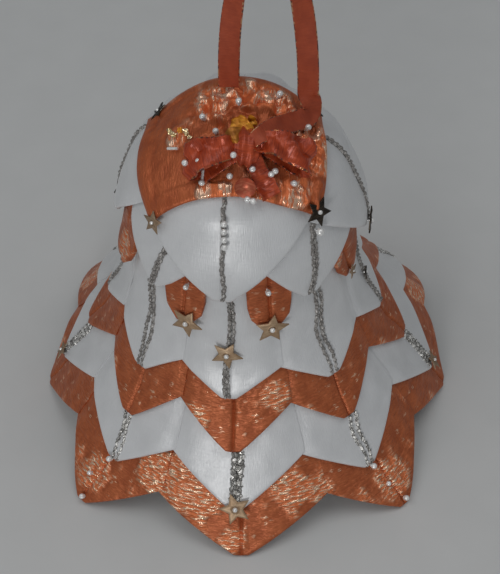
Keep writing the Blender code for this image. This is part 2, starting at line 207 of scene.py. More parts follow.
# Floor and sky
FLOOR_SIZE = 3.0
FLOOR_DROP = 0.0004
SKY_COLOUR = (0.93, 0.97, 1.0, 1.0)
SKY_STRENGTH = 0.22

MILLIMETRE = 0.001
CENTIMETRE = 0.01
UV_NAME = "cloth"


class Touch(NamedTuple):
    """How the maker's hand laid one point: its turn in degrees, the shift of its seam to the right
    at the tip and at the top, the tip's rise along the bell and flare away from it, and the widths
    of its left and right halves as shares of an even one."""

    turn: float = 0.0
    tip_right: float = 0.0
    top_right: float = 0.0
    rise: float = 0.0
    flare: float = 0.0
    left: float = 1.0
    right: float = 1.0


TOUCHES = {
    ("hem_orange_point", 0): Touch(left=1.14, right=1.14),
    ("hem_orange_point", 1): Touch(tip_right=0.0009, rise=-0.0010, flare=0.0011, left=0.86),
    ("hem_orange_point", 2): Touch(rise=0.0016, flare=-0.0013),
    ("hem_orange_point", 6): Touch(rise=0.0008, flare=-0.0008),
    ("hem_orange_point", 7): Touch(tip_right=-0.0012, rise=-0.0010, flare=0.0011, right=0.86),
    ("lower_white_point", 1): Touch(tip_right=-0.0010, rise=0.0010),
    ("lower_white_point", 7): Touch(tip_right=0.0022, top_right=0.0012, rise=0.0015),
    ("middle_orange_point", 1): Touch(tip_right=-0.0007, rise=0.0009),
    ("middle_orange_point", 7): Touch(tip_right=0.0020, top_right=0.0010, rise=0.0005),
    ("waist_white_point", 7): Touch(tip_right=0.0020),
    ("shoulder_orange_point", 0): Touch(turn=-1.4),
    ("shoulder_orange_point", 1): Touch(turn=3.6, top_right=-0.0028, rise=0.0018, right=1.5),
    ("shoulder_orange_point", 6): Touch(turn=1.0, rise=0.0026, flare=0.0014, left=1.7),
    ("shoulder_orange_point", 7): Touch(turn=2.1),
    ("under_white_point", 0): Touch(tip_right=-0.0026, top_right=0.0002),
    ("under_white_point", 3): Touch(tip_right=0.0018, top_right=0.0056, left=0.52),
    ("dome_white_point", 3): Touch(turn=-5.0, rise=-0.0028),
}


class Wire:
    """A socket in a material's nodes, with arithmetic: an expression on wires adds Math nodes."""

    def __init__(self, finish, socket):
        self.finish = finish
        self.socket = socket

    def math(self, operation, *values):
        inputs = dict(enumerate(values))
        return self.finish.node("ShaderNodeMath", {"operation": operation}, inputs)

    def __add__(self, other):
        return self.math("ADD", self, other)

    def __sub__(self, other):
        return self.math("SUBTRACT", self, other)

    def __rsub__(self, other):
        return self.math("SUBTRACT", other, self)

    def __mul__(self, other):
        return self.math("MULTIPLY", self, other)

    def __pow__(self, power):
        return self.math("POWER", self, power)

    __radd__ = __add__
    __rmul__ = __mul__

    def size(self):
        return self.math("ABSOLUTE", self)

    def step(self, low, high):
        """0 below low, 1 above high, and a smooth step between."""
        inputs = {"Value": self, "From Min": low, "From Max": high}
        return self.finish.node("ShaderNodeMapRange", {"interpolation_type": "SMOOTHSTEP"}, inputs)


class Finish:
    """A material being made: constants go on the shader's own sockets, and node() adds the rest."""

    def __init__(self, name, **constants):
        self.material = bpy.data.materials.new(name)
        self.material.use_nodes = True
        self.tree = self.material.node_tree
        self.shader = self.tree.nodes["Principled BSDF"]
        for socket, value in constants.items():
            self.paint(socket.replace("_", " "), value)

    def feed(self, socket, value):
        if isinstance(value, Wire):
            self.tree.links.new(value.socket, socket)
        elif hasattr(value, "__len__") and len(value) == 3 and socket.type == "RGBA":
            socket.default_value = (*value, 1)
        else:
            socket.default_value = value

    def node(self, kind, settings=None, inputs=None, output=0):
        made = self.tree.nodes.new(kind)
        for key, value in (settings or {}).items():
            setattr(made, key, value)
        for key, value in (inputs or {}).items():
            self.feed(made.inputs[key], value)
        return Wire(self, made.outputs[output])

    def paint(self, socket, value):
        self.feed(self.shader.inputs[socket], value)

    def places(self):
        return self.node("ShaderNodeTexCoord", output="Object")

    def cloth(self):
        return self.node("ShaderNodeUVMap", {"uv_map": UV_NAME})

    def parts(self, vector):
        """The three numbers of a vector as wires."""
        split = self.node("ShaderNodeSeparateXYZ", inputs={"Vector": vector})
        return [Wire(self, out) for out in split.socket.node.outputs]

    def stretched(self, vector, scale):
        return self.node("ShaderNodeMapping", inputs={"Vector": vector, "Scale": scale})

    def noise(self, vector, scale, detail=2.0):
        inputs = {"Vector": vector, "Scale": scale, "Detail": detail}
        return self.node("ShaderNodeTexNoise", inputs=inputs)

    def cells(self, vector, scale, output="Distance", feature="F1"):
        inputs = {"Vector": vector, "Scale": scale}
        return self.node("ShaderNodeTexVoronoi", {"feature": feature}, inputs, output)

    def near(self, spots):
        """1 in the middle of each spot, a place and a radius, falling to 0 at its edge."""
        places = self.places()
        total = 0.0
        for place, radius in spots:
            inputs = {0: places, 1: place}
            away = self.node("ShaderNodeVectorMath", {"operation": "DISTANCE"}, inputs, "Value")
            total = total + (1 - away.step(0.3 * radius, radius))
        return total

    def mixed(self, share, first, second):
        inputs = {0: share, 6: first, 7: second}
        return self.node("ShaderNodeMix", {"data_type": "RGBA"}, inputs, 2)

    def bump(self, height, depth, strength=1.0):
        inputs = {"Height": height, "Distance": depth, "Strength": strength}
        self.paint("Normal", self.node("ShaderNodeBump", inputs=inputs))


def lame_finish(name, dark, bright, glint, rib_scale, painted_sparkles, spots):
    """Crinkled metallic cloth: uneven ribs across the ribbon and soft crumples, and crush spots
    where the ribs stand up. Its base colour is painted with highlights: a lighter orange over the
    crush spots, and a pale glint colour on their threads and on scattered sparkles."""
    made = Finish(name, Specular_IOR_Level=0.5)
    cloth = made.cloth()
    ribs = made.noise(made.stretched(cloth, rib_scale), 1.0, 2.0)
    weave = made.noise(made.stretched(cloth, (10.0, 46.0, 1.0)), 1.0, 1.0)
    crumple = made.noise(cloth, 3.2, 2.0)
    patch = made.noise(cloth, 1.1, 1.0).step(0.52, 0.66)
    # Crush spots: taller ribs in the bump, and where the base colour is painted with highlights.
    crush_and_glint = (made.near(spots) + patch * 0.35 + crumple * 0.8).step(0.55, 1.05)
    thread = (ribs * 0.7 + weave * 0.3).step(0.48, 0.60)
    red, _, _ = made.parts(made.cells(made.stretched(cloth, (9.0, 20.0, 1.0)), 1.0, "Color"))
    # Painted highlights: the threads in the crush spots and scattered sparkles take the pale glint colour.
    painted_glint = thread * crush_and_glint
    painted_glint = painted_glint.math("MAXIMUM", painted_glint, painted_sparkles * red.step(0.955, 0.985) * weave.step(0.45, 0.6))
    tone = (ribs * 0.3 + crumple * 0.5 + weave * 0.2).step(0.36, 0.64)
    # Painted highlight: a lighter copy of the bright orange over the crush spots.
    lit = tuple(1.6 * c for c in bright)
    body = made.mixed(crush_and_glint * 0.7, made.mixed(tone, dark, bright), lit)
    made.paint("Base Color", made.mixed(painted_glint, body, glint))
    made.paint("Metallic", 0.45 + 0.4 * painted_glint)
    made.paint("Roughness", 0.46 - 0.22 * painted_glint - 0.08 * crumple)
    made.bump(ribs * (0.6 + 1.6 * crush_and_glint) + weave * 0.3 + crumple * 0.9, 0.0006, 0.75)
    return made.material


def satin_finish(name, shade, sheen):
    """White satin: broad soft sheen, fine threads along the ribbon, faint clouds of tone."""
    made = Finish(name, Sheen_Weight=0.15, Specular_IOR_Level=1.0, Coat_Weight=0.5, Coat_Roughness=0.3)
    cloth = made.cloth()
    threads = made.noise(made.stretched(cloth, (70.0, 5.0, 1.0)), 1.0, 1.0)
    cloud = made.noise(cloth, 1.7, 2.0)
    slub = made.noise(made.stretched(cloth, (3.0, 22.0, 1.0)), 1.0, 2.0)
    tone = (cloud * 0.7 + threads * 0.3).step(0.3, 0.7)
    made.paint("Base Color", made.mixed(tone, shade, sheen))
    made.paint("Roughness", 0.28 + 0.12 * cloud)
    made.bump(threads * 0.35 + cloud + slub * 0.25, 0.0004, 0.35)
    return made.material


def braid_finish(name, dark, bright, gap, metallic):
    """Glitter braid: small flat flakes, each with its own brightness, and darker gaps."""
    made = Finish(name, Metallic=metallic)
    places = made.places()
    flake = made.cells(places, 1050.0, "Color")
    red, green, _ = made.parts(flake)
    gaps = made.cells(places, 1050.0, feature="DISTANCE_TO_EDGE").step(0.0, 0.14)
    body = made.mixed(red.step(0.05, 0.65), dark, bright)
    made.paint("Base Color", made.mixed(gaps, gap, body))
    made.paint("Roughness", 0.48 - 0.26 * green)
    made.bump(red + gaps, 0.00018, 0.8)
    return made.material


def sequin_finish(name, body, worn, roughness, metallic=0.95):
    """Metallised plastic foil: faint rubbing marks and a slightly uneven mirror."""
    made = Finish(name, Metallic=metallic)
    places = made.places()
    rub = made.noise(made.stretched(places, (1.0, 1.0, 3.0)), 900.0, 3.0)
    made.paint("Base Color", made.mixed(rub.step(0.42, 0.68), body, worn))
    made.paint("Roughness", roughness + 0.18 * rub)
    made.bump(made.noise(places, 420.0, 2.0), 0.0002, 0.4)
    return made.material


def bead_finish(name, body, roughness):
    """A polished pin head, with faint turning marks."""
    made = Finish(name, Metallic=0.3, Coat_Weight=1.0, Coat_Roughness=0.06)
    marks = made.noise(made.places(), 2600.0, 2.0)
    made.paint("Base Color", made.mixed(marks.step(0.35, 0.7), body, tuple(0.75 * c for c in body)))
    made.paint("Roughness", roughness + 0.12 * marks)
    return made.material


def ribbon_finish(name, dark, bright, thread, roughness, relief):
    """Narrow satin ribbon: fine ribs across it and a speckled metallic thread in each edge.

    Its own coordinates run from -1 to 1 across, and in centimetres along.
    """
    made = Finish(name, Specular_IOR_Level=0.4)
    cloth = made.cloth()
    across, _, _ = made.parts(cloth)
    ribs = made.noise(made.stretched(cloth, (1.2, 46.0, 1.0)), 1.0, 2.0)
    cloud = made.noise(made.stretched(cloth, (1.0, 3.5, 1.0)), 1.0, 2.0)
    speck = made.cells(made.stretched(cloth, (5.0, 22.0, 1.0)), 1.0, "Color")
    red, _, _ = made.parts(speck)
    edge = across.size().step(0.86, 0.94)
    fleck = edge * red.step(0.55, 0.75)
    gap = edge * (1 - red.step(0.15, 0.35))
    body = made.mixed((ribs * 0.4 + cloud * 0.6).step(0.33, 0.66), dark, bright)
    body = made.mixed(gap * 0.85, body, (0.05, 0.03, 0.03))
    made.paint("Base Color", made.mixed(fleck, body, thread))
    made.paint("Metallic", 0.15 + 0.7 * fleck)
    made.paint("Roughness", roughness - 0.15 * fleck + 0.1 * cloud)
    made.bump(ribs * 0.3 + cloud * relief + edge * red * 0.6, 0.0003, 0.5)
    return made.material


def foam_finish():
    """White craft foam: pressed beads of unlike size with darker joints."""
    made = Finish("craft_foam", Roughness=0.85)
    places = made.places()
    joints = made.cells(places, 420.0, feature="DISTANCE_TO_EDGE").step(0.0, 0.12)
    grain = made.noise(places, 1500.0, 2.0)
    body = made.mixed(grain, (0.74, 0.74, 0.72), (0.86, 0.86, 0.84))
    made.paint("Base Color", made.mixed(joints, (0.60, 0.60, 0.58), body))
    made.bump(joints + grain * 0.3, 0.0004, 0.6)
    return made.material


def floor_finish():
    """Plain pale paper with a trace of grain."""
    made = Finish("pale_floor", Roughness=0.9)
    grain = made.noise(made.places(), 90.0, 3.0)
    made.paint("Base Color", made.mixed(grain, (0.61, 0.615, 0.61), (0.66, 0.665, 0.66)))
    return made.material


class Row(NamedTuple):
    """One ring of folded points: their count, the turn of the first from the front in degrees, the
    arc lengths of tip, valley and hidden top edge, and whether it is white satin with braid."""

    name: str
    count: int
    turn: float
    tip: float
    valley: float
    top: float
    white: bool

    def touch(self, number):
        return TOUCHES.get((self.name, number), Touch())

    def azimuth(self, number):
        return 2 * math.pi * number / self.count + math.radians(self.turn + self.touch(number).turn)

    def lean(self, number, share):
        """Shift of a point's seam to the right, from its tip at share 0 to its top at 1."""
        touch = self.touch(number)
        return touch.tip_right + (touch.top_right - touch.tip_right) * share

    def at_tip(self, number, up=0.0, right=0.0):
        """Arc length and turn of a place by a point's tip, so far up the bell and to the right."""
        arc = self.tip + self.touch(number).rise + up
        radius = float(np.interp(self.tip, LINE["arc"], LINE["r"]))
        return arc, self.azimuth(number) + (self.touch(number).tip_right + right) / radius


class Folds(NamedTuple):
    """How a cloth takes folding: the size and depth of its creases, and the depth of its seam."""

    crease: float
    depth: float
    seam: float


SATIN_FOLDS = Folds(0.0052, 0.00005, 0.00016)
LAME_FOLDS = Folds(0.0034, 0.00008, 0.00042)


class Seat(NamedTuple):
    """A place for a trimming: a point on the cloth, the ways right and up along it, and out."""

    origin: np.ndarray
    right: np.ndarray
    up: np.ndarray
    out: np.ndarray


def bell_line():
    """Radius, height and outward normal against arc length from the hem to the crown.

    The flare is a power of the height left to the waist, the neck half a cosine wave and the dome
    a quarter ellipse. The line drops so that the innermost layer's hem tips stand at height 0, and
    runs on straight below the hem for points that are longer than the rest.
    """
    climb = np.linspace(0, 1, LINE_POINTS)
    flare_r = WAIST_RADIUS + (SKIRT_RADIUS - WAIST_RADIUS) * (1 - climb) ** FLARE_POWER
    neck_r = WAIST_RADIUS + (DOME_RADIUS - WAIST_RADIUS) * (1 - np.cos(math.pi * climb)) / 2
    neck_z = WAIST_HEIGHT + (DOME_HEIGHT - WAIST_HEIGHT) * climb
    dome_z = DOME_HEIGHT + (CROWN_HEIGHT - DOME_HEIGHT) * np.sin(climb * math.pi / 2)
    radius = np.concatenate([flare_r, neck_r[1:], DOME_RADIUS * np.cos(climb[1:] * math.pi / 2)])
    height = np.concatenate([WAIST_HEIGHT * climb, neck_z[1:], dome_z[1:]])
    arc = np.concatenate([[0], np.cumsum(np.hypot(np.diff(radius), np.diff(height)))])
    out, up = np.gradient(height, arc), -np.gradient(radius, arc)
    line = {"arc": arc, "r": radius, "z": height - CLEARANCE * up[0], "out": out, "up": up}
    below = {"arc": -HEM_SPARE, "r": up[0] * HEM_SPARE, "z": -out[0] * HEM_SPARE, "out": 0, "up": 0}
    return {key: np.concatenate([values[:1] + below[key], values]) for key, values in line.items()}


def plan_rows():
    """The rows from the hem up. Each top edge tucks under the valleys of the row above."""
    foot = float(np.interp(DOME_HEIGHT, LINE["z"], LINE["arc"]))
    plan = [
        ("hem_orange_point", 8, 3.3, 0.0, 0.0093, False),
        ("lower_white_point", 8, 1.7, 0.0093, 0.0097, True),
        ("middle_orange_point", 8, 0.6, 0.0215, 0.0087, False),
        ("waist_white_point", 8, -1.3, 0.0328, 0.0058, True),
        ("shoulder_orange_point", 8, 19.4, foot - 0.0091, 0.0097, False),
        ("under_white_point", 4, 44.7, foot - 0.0036, 0.0138, True),
        ("dome_white_point", 4, -3.5, foot - 0.0003, 0.0119, True),
    ]
    crown = CROWN_ARC - CAP_DEPTH / 2 + CAP_FRONT
    covers = [tip + rise for _, _, _, tip, rise, _ in plan[1:]] + [crown]
    return [
        Row(name, count, turn, tip, tip + rise, cover + TUCK, white)
        for (name, count, turn, tip, rise, white), cover in zip(plan, covers)
    ]


def rear_spread(arc, turn):
    """How far the skirt's two rear corners stand out past the foam: a bell curve of the turn about
    each of them, fading from the hem up to the waist."""
    from_front = np.abs((turn + math.pi) % (2 * math.pi) - math.pi)
    corner = np.exp(-(((from_front - REAR_TURN) / REAR_WIDTH) ** 2))
    return REAR_SPREAD * corner * (1 - smooth(arc, 0, REAR_TOP))


def on_bell(arc, turn, lift):
    """World places at an arc length, a turn about the axis and a lift along the line's normal."""
    at = {key: np.interp(arc, LINE["arc"], LINE[key]) for key in ("r", "z", "out", "up")}
    radius = at["r"] + at["out"] * lift + rear_spread(arc, turn)
    places = np.broadcast_arrays(radius * np.sin(turn), -radius * np.cos(turn), at["z"] + at["up"] * lift)
    return np.stack(places, -1)


def inner_lift(arc, rows_below):
    """Lift of a cloth's inner face: one ply and clearance for each row that is still under it,
    settling to nothing along a smooth step past each row's top edge."""
    layers = np.zeros_like(arc)
    for row in rows_below:
        past = np.clip((arc - row.top - CLEARANCE) / SETTLE, 0, 1)
        layers = layers + 1 - past * past * (3 - 2 * past)
    return CLEARANCE + layers * (PLY + CLEARANCE)


def behind_cap(arc, turn):
    """Lift of the satin that puffs up in two humps behind the cap, past its rear edge: bell curves
    across, which grow and fade along smooth steps."""
    away = CROWN_ARC - arc
    right, back = away * np.sin(turn), -away * np.cos(turn)
    past = back - (CAP_DEPTH / 2 - CAP_FRONT)
    humps = sum(share * np.exp(-(((right - place) / width) ** 2)) for place, width, share in PUFFS)
    return PUFF_RISE * humps * smooth(past, *PUFF_GROWS) * (1 - smooth(past, *PUFF_FADES))


def lift_at(arc, rows):
    """Inner lift at one arc length over the first so many rows."""
    return float(inner_lift(np.array([arc]), ROWS[:rows])[0])


def on_cap(right, back, height):
    """World places over the cap: cloth coordinates measured from the crown, laid along the dome."""
    right, back, height = np.broadcast_arrays(right, back, height)
    away = np.hypot(right, back)
    arc = CROWN_ARC - away
    return on_bell(arc, np.arctan2(right, -back), inner_lift(arc, ROWS) + PLY + height)


def as_pinned(right, back):
    """Places on the cap's own cloth as it lies: shifted to the left and the front, then turned."""
    right, back = right - CAP_LEFT, back - CAP_FRONT
    turned = right * math.cos(CAP_TURN) - back * math.sin(CAP_TURN)
    return turned, right * math.sin(CAP_TURN) + back * math.cos(CAP_TURN)


def cap_arc(turn):
    """Arc length at which the cap's edge crosses a turn about the axis: the nearer of its sides."""
    right, back = math.sin(turn - CAP_TURN), -math.cos(turn - CAP_TURN)
    to_side = (math.copysign(CAP_WIDTH / 2, right) - CAP_LEFT) / right
    to_end = (math.copysign(CAP_DEPTH / 2, back) - CAP_FRONT) / back
    return CROWN_ARC - min(to_side, to_end)


def unit(vectors):
    """Vectors of the same directions and of length 1."""
    return vectors / np.linalg.norm(vectors, axis=-1, keepdims=True)


def bell_seat(arc, turn, lift):
    """A seat on the bell, with up along the line towards the crown."""
    origin = on_bell(arc, turn, lift)
    out = unit(on_bell(arc, turn, lift + PLY) - origin)
    right = np.array([math.cos(turn), math.sin(turn), 0.0])
    return Seat(origin, right, np.cross(out, right), out)


def cap_seat(right, back, height):
    """A seat on the cap, with up towards the back."""
    origin = on_cap(right, back, height)
    out = unit(on_cap(right, back, height + PLY) - origin)
    side = unit(np.cross(np.array([0.0, 1.0, 0.0]), out))
    return Seat(origin, side, np.cross(out, side), out)


def seated(seat, points, spin=0.0, lean=0.0):
    """Points of a small piece, turned by spin in its own plane, leant back and put on its seat."""
    x, y, z = np.moveaxis(np.asarray(points, float), -1, 0)
    x, y = x * math.cos(spin) - y * math.sin(spin), x * math.sin(spin) + y * math.cos(spin)
    y, z = y * math.cos(lean) - z * math.sin(lean), y * math.sin(lean) + z * math.cos(lean)
    return seat.origin + x[..., None] * seat.right + y[..., None] * seat.up + z[..., None] * seat.out


def ripples(across, along, size, seed, waves=9):
    """Smooth wrinkles: the mean of sine waves of about that size, in seeded directions and phases."""
    draw = np.random.default_rng(seed)
    headings, phases = draw.uniform(0, 2 * math.pi, (2, waves))
    shares = draw.uniform(0.6, 1.5, waves)
    total = 0.0
    for heading, phase, share in zip(headings, phases, shares):
        wave = (across * math.cos(heading) + along * math.sin(heading)) / (size * share)
        total = total + np.sin(2 * math.pi * wave + phase)
    return total / math.sqrt(waves)


def smooth(value, low, high):
    """0 below low, 1 above high, and a smooth step between."""
    share = np.clip((value - low) / (high - low), 0, 1)
    return share * share * (3 - 2 * share)


def rounded(distance, radius):
    """Height share of a round edge: a quarter circle from 0 at the edge to 1 at its radius."""
    return np.sqrt(1 - (1 - np.clip(distance / radius, 0, 1)) ** 2)


def grid_faces(rows, columns, start=0, flip=False):
    """Faces of a grid whose points are numbered from start, row by row."""
    index = np.arange(rows * columns).reshape(rows, columns) + start
    a, b, c, d = index[:-1, :-1], index[:-1, 1:], index[1:, 1:], index[1:, :-1]
    corners = [d, c, b, a] if flip else [a, b, c, d]
    return np.stack(corners, -1).reshape(-1, 4)


def shell_faces(rows, columns):
    """Faces of a closed shell: an outer grid, an inner grid after it, and the rim between them."""
    count = rows * columns
    index = np.arange(count).reshape(rows, columns)
    edge = np.concatenate([index[0], index[1:, -1], index[-1, -2::-1], index[-2:0:-1, 0]])
    ahead = np.roll(edge, -1)
    rim = np.stack([ahead, edge, edge + count, ahead + count], -1)
    return np.concatenate([grid_faces(rows, columns), grid_faces(rows, columns, count, True), rim])


def cloth_shell(outer, inner, uv):
    """Points, faces and cloth coordinates of a closed shell between two grids of places."""
    points = np.concatenate([outer.reshape(-1, 3), inner.reshape(-1, 3)])
    return points, shell_faces(*outer.shape[:2]), np.concatenate([uv.reshape(-1, 2)] * 2)


def tube_faces(rings, sides):
    """Faces of rings joined into a closed tube, with a flat end at each end ring."""
    index = np.arange(rings * sides).reshape(rings, sides)
    around = np.concatenate([index, index[:, :1]], 1)
    a, b, c, d = around[:-1, :-1], around[:-1, 1:], around[1:, 1:], around[1:, :-1]
    faces = np.stack([a, b, c, d], -1).reshape(-1, 4).tolist()
    return faces + [index[0, ::-1].tolist(), index[-1].tolist()]


def add_piece(name, points, faces, finish, uv=None, body="bell", stands_for=()):
    """A finished mesh piece on its body: smooth, with its cloth coordinates as a UV map."""
    points = np.asarray(points, float).reshape(-1, 3)
    mesh = bpy.data.meshes.new(name)
    mesh.from_pydata(points.tolist(), [], faces if isinstance(faces, list) else faces.tolist())
    mesh.materials.append(finish)
    if uv is not None:
        corner = np.empty(len(mesh.loops), int)
        mesh.loops.foreach_get("vertex_index", corner)
        layer = mesh.uv_layers.new(name=UV_NAME)
        layer.data.foreach_set("uv", np.asarray(uv, np.float32).reshape(-1, 2)[corner].ravel())
    mesh.shade_smooth()
    mesh.set_sharp_from_angle(angle=SHARP_ANGLE)
    piece = bpy.data.objects.new(name, mesh)
    bpy.context.scene.collection.objects.link(piece)
    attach(piece, body)
    if stands_for:
        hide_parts(*stands_for)
    return piece


def length_of(points):
    """Length of a chain of places."""
    return float(np.linalg.norm(np.diff(points, axis=0), axis=-1).sum())


def area_of(points):
    """Area of a grid of places, as the sum of its cells' cross products."""
    right = points[:-1, 1:] - points[:-1, :-1]
    up = points[1:, :-1] - points[:-1, :-1]
    return float(np.linalg.norm(np.cross(right, up), axis=-1).sum())


def point_grid(half_width, tongue):
    """Columns of a folded point as shares of its half width, close at the seam and at the sides, and
    at the corners of a tongue, and rows as shares of the way from the folded edge to the hidden top,
    close at the edge."""
    seam = np.array([0.00012, 0.00025, 0.0004, 0.0006, 0.0009, 0.0013]) / half_width
    side = np.concatenate([seam, np.linspace(seam[-1] + 0.05, 0.94, 12), [0.97, 0.99, 1.01, 1 + OVERLAP]])
    if tongue:
        corner = TONGUE_SHARE + BLUNT_TIP / 2 / half_width
        close = corner + np.array([-0.01, 0.0, 0.012, 0.025, 0.037, 0.05])
        side = np.sort(np.concatenate([side, close]))
    rows = np.concatenate([[0, 0.004, 0.011, 0.021, 0.035, 0.055, 0.08], np.linspace(0.11, 1, 20)])
    return np.concatenate([-side[::-1], [0.0], side]), rows[:, None]


def folded_edge(tip, valley, share, tongue):
    """Arc length of the folded edge at a share of the way from the blunt tip to the valley: a straight
    line bowed by half a sine wave, or for a tongue a short rise to its corner and a steep step past it."""
    if tongue:
        slant = TONGUE_RISE * np.clip(share / TONGUE_SHARE, 0, 1)
        return tip + slant + (valley - tip) * smooth(share, TONGUE_SHARE, TONGUE_SHARE + TONGUE_CORNER)
    return tip + (valley - tip) * share + EDGE_BOW * np.sin(math.pi * np.clip(share, 0, 1))


def point_relief(row, reach, arc, edge, sides, plump, seed):
    """Height of a point's outer face over its even thickness: a swelling that rises and dies away
    behind the fold, creases, a groove of two bell curves at the seam, and a pleat on each side of it
    at the hem's tips."""
    folds = SATIN_FOLDS if row.white else LAME_FOLDS
    seam = np.abs(reach)
    behind = edge / PLUMP_BEHIND * np.exp(1 - edge / PLUMP_BEHIND)
    plumped = (PLUMP + PLUMP_VARIES * plump) * behind * (1 - sides)
    creased = folds.depth * smooth(edge, CREASED_FROM, CREASED_FULLY)
    creases = creased * ripples(reach, arc, folds.crease, seed)
    groove = np.exp(-((seam / GROOVE_WIDTH) ** 2)) + 0.25 * np.exp(-((seam / GROOVE_SPREAD) ** 2))
    relief = plumped + creases - folds.seam * groove
    if row.tip == 0:
        pleats = np.exp(-(((seam - PLEAT_ASIDE) / PLEAT_WIDTH) ** 2))
        relief = relief - PLEAT_DEPTH * pleats * (1 - smooth(edge, PLEAT_FADES, PLEAT_ENDS))
    return relief


def folded_point(row, number, rows_below):
    """Outer face, inner face and cloth coordinates of one folded point.

    Across is the share of the half width from the seam, and the arc runs from the folded edge to
    the hidden top. Between its two faces the cloth is one folded thickness, rounded off at the edge
    by a quarter circle and thinned at both sides, the right side over the neighbour and the left
    side under.
    """
    seed = 100 * ROWS.index(row) + number
    drop, left, right, plump = np.random.default_rng(seed).uniform(-1, 1, 4)
    touch = row.touch(number)
    tip = row.tip + touch.rise + (TIP_VARIES * drop if row.tip > 0 else 0)
    radius = float(np.interp(row.tip, LINE["arc"], LINE["r"]))
    half_width = math.pi / row.count * radius
    tongue = row.name == TONGUES
    across, up = point_grid(half_width, tongue)
    on_left, beside = across < 0, np.abs(across)
    blunt = BLUNT_TIP / 2 / half_width
    share = np.clip((beside - blunt) / (1 - blunt), 0, None)
    valley = row.valley + VALLEY_VARIES * np.where(on_left, left, right)
    low = folded_edge(tip, valley, share, tongue)
    arc = low + up * (row.top - low)
    edge = (arc - low) * math.cos(math.atan2(row.valley - row.tip, half_width))
    reach = across * half_width + 0 * up

    spread = across * np.where(on_left, touch.left, touch.right)
    turn = row.azimuth(number) + spread * math.pi / row.count
    turn = turn + row.lean(number, up) / radius * np.clip(1 - beside, 0, 1)
    sides = smooth(beside, SIDES_FROM, 1.0)
    thickness = FOLD_THICKNESS - sides * np.where(on_left, LEFT_THINNED, RIGHT_THINNED)
    middle = FOLD_MIDDLE + sides * np.where(on_left, -LEFT_SUNK, RIGHT_RAISED)
    fading = (1 - smooth(arc, tip, tip + FLARE_LENGTH)) * (1 - smooth(beside, FLARE_FROM, 1.0))
    base = inner_lift(arc, rows_below) + middle + touch.flare * fading
    if row == ROWS[-1]:
        base = base + behind_cap(arc, turn)
    half = thickness / 2 * rounded(edge, FOLD_ROUND)
    relief = point_relief(row, reach, arc, edge, sides, plump, seed)
    outer = on_bell(arc, turn, base + half + relief)
    inner = on_bell(arc, turn, base - half + 0 * up)
    uv = np.stack([reach, arc - row.tip], -1) / CENTIMETRE
    return outer, inner, uv


def add_points():
    """The rows of folded points, each a sheet of cloth pinned on over the row below."""
    for level, row in enumerate(ROWS):
        finish = SATIN if row.white else LAME
        for number in range(row.count):
            name = f"{row.name}_{number + 1}"
            outer, inner, uv = folded_point(row, number, ROWS[:level])
            points, faces, coordinates = cloth_shell(outer, inner, uv)
            piece = add_piece(f"cloth_{name}", points, faces, finish, coordinates, stands_for=[name])
            width = length_of(outer[len(outer) // 2])
            length = row.top - row.tip
            area = min(area_of(outer), width * length)


def braid_strip(name, row, number, start, end, strands, finish):
    """Silver braid on a seam: each strand a half round that swells and shrinks along its length,
    out of step with the next one, on a line that wanders a little from the seam."""
    level = ROWS.index(row)
    seed = 900 + 10 * level + number
    length = end - start
    along = np.linspace(0, length, max(24, round(length / BRAID_STEP)))[:, None]
    across = np.linspace(-1, 1, 9)
    ends = rounded(np.minimum(along, length - along) + 0.0001, 0.0006)
    wander = 0.00034 * ripples(along, 0 * along, 0.014, seed, 3)
    apart = 1 + 0.22 * ripples(along, 0 * along, 0.009, seed + 5, 3)
    arc = start + along + 0 * across
    radius = np.interp(arc, LINE["arc"], LINE["r"])
    points, faces = [], []
    for strand, (offset, width) in enumerate(strands):
        beat = np.cos(2 * math.pi * along / BRAID_PITCH + 2.4 * strand + seed)
        weave = 0.00008 * np.sin(math.pi * along / BRAID_PITCH + seed)
        height = BRAID_RISE * np.sqrt(1 - across**2) * (0.72 + 0.28 * beat) + 0.00006
        sideways = wander + offset * apart + weave + across * width / 2 * (1 + 0.16 * beat) * ends
        turn = row.azimuth(number) + (sideways + row.lean(number, along / length)) / radius
        seat = inner_lift(arc, ROWS[:level]) + BRAID_SEAT
        if row == ROWS[-1]:
            seat = seat + behind_cap(arc, turn)
        shell = [on_bell(arc, turn, seat + height * ends), on_bell(arc, turn, seat - BRAID_SUNK)]
        faces.append(shell_faces(*arc.shape) + 2 * arc.size * strand)
        points.append(np.concatenate([face.reshape(-1, 3) for face in shell]))
    add_piece(name, np.concatenate(points), np.concatenate(faces), finish)


def add_braids():
    """Braid along every white seam, from its tip to under the next row or the cap: wide bright strands
    low down, two duller ones above, apart or close together, and one narrow one on the dome."""
    rows = {row.name: row for row in ROWS}
    dome, under = rows["dome_white_point"], rows["under_white_point"]
    lower_strands = [WIDE_BRAID, OPEN_BRAID] + [WIDE_BRAID] * 5 + [OPEN_BRAID]
    lower_ends = [rows["middle_orange_point"].tip] * 8
    under_ends = [min(cap_arc(under.azimuth(i)), dome.valley) for i in range(under.count)]
    dome_ends = [min(cap_arc(dome.azimuth(i)), CROWN_ARC - REAR_BRAID_TOP) for i in range(dome.count)]
    plan = {
        "lower_white_point": (lower_strands, lower_ends, BRIGHT_BRAID),
        "waist_white_point": ([CLOSE_BRAID, OPEN_BRAID] * 4, [dome.tip, under.tip] * 4, BRAID),
        "under_white_point": ([CLOSE_BRAID] * 4, under_ends, BRAID),
        "dome_white_point": ([NARROW_BRAID] * 4, dome_ends, BRAID),
    }
    for name, (strands, ends, finish) in plan.items():
        row = rows[name]
        for number, end in enumerate(ends):
            braid = f"braid_{name.removesuffix('_point')}_{number + 1}"
            start, stop = row.at_tip(number, BRAID_START)[0], end + BRAID_TUCK
            braid_strip(braid, row, number, start, stop, strands[number], finish)


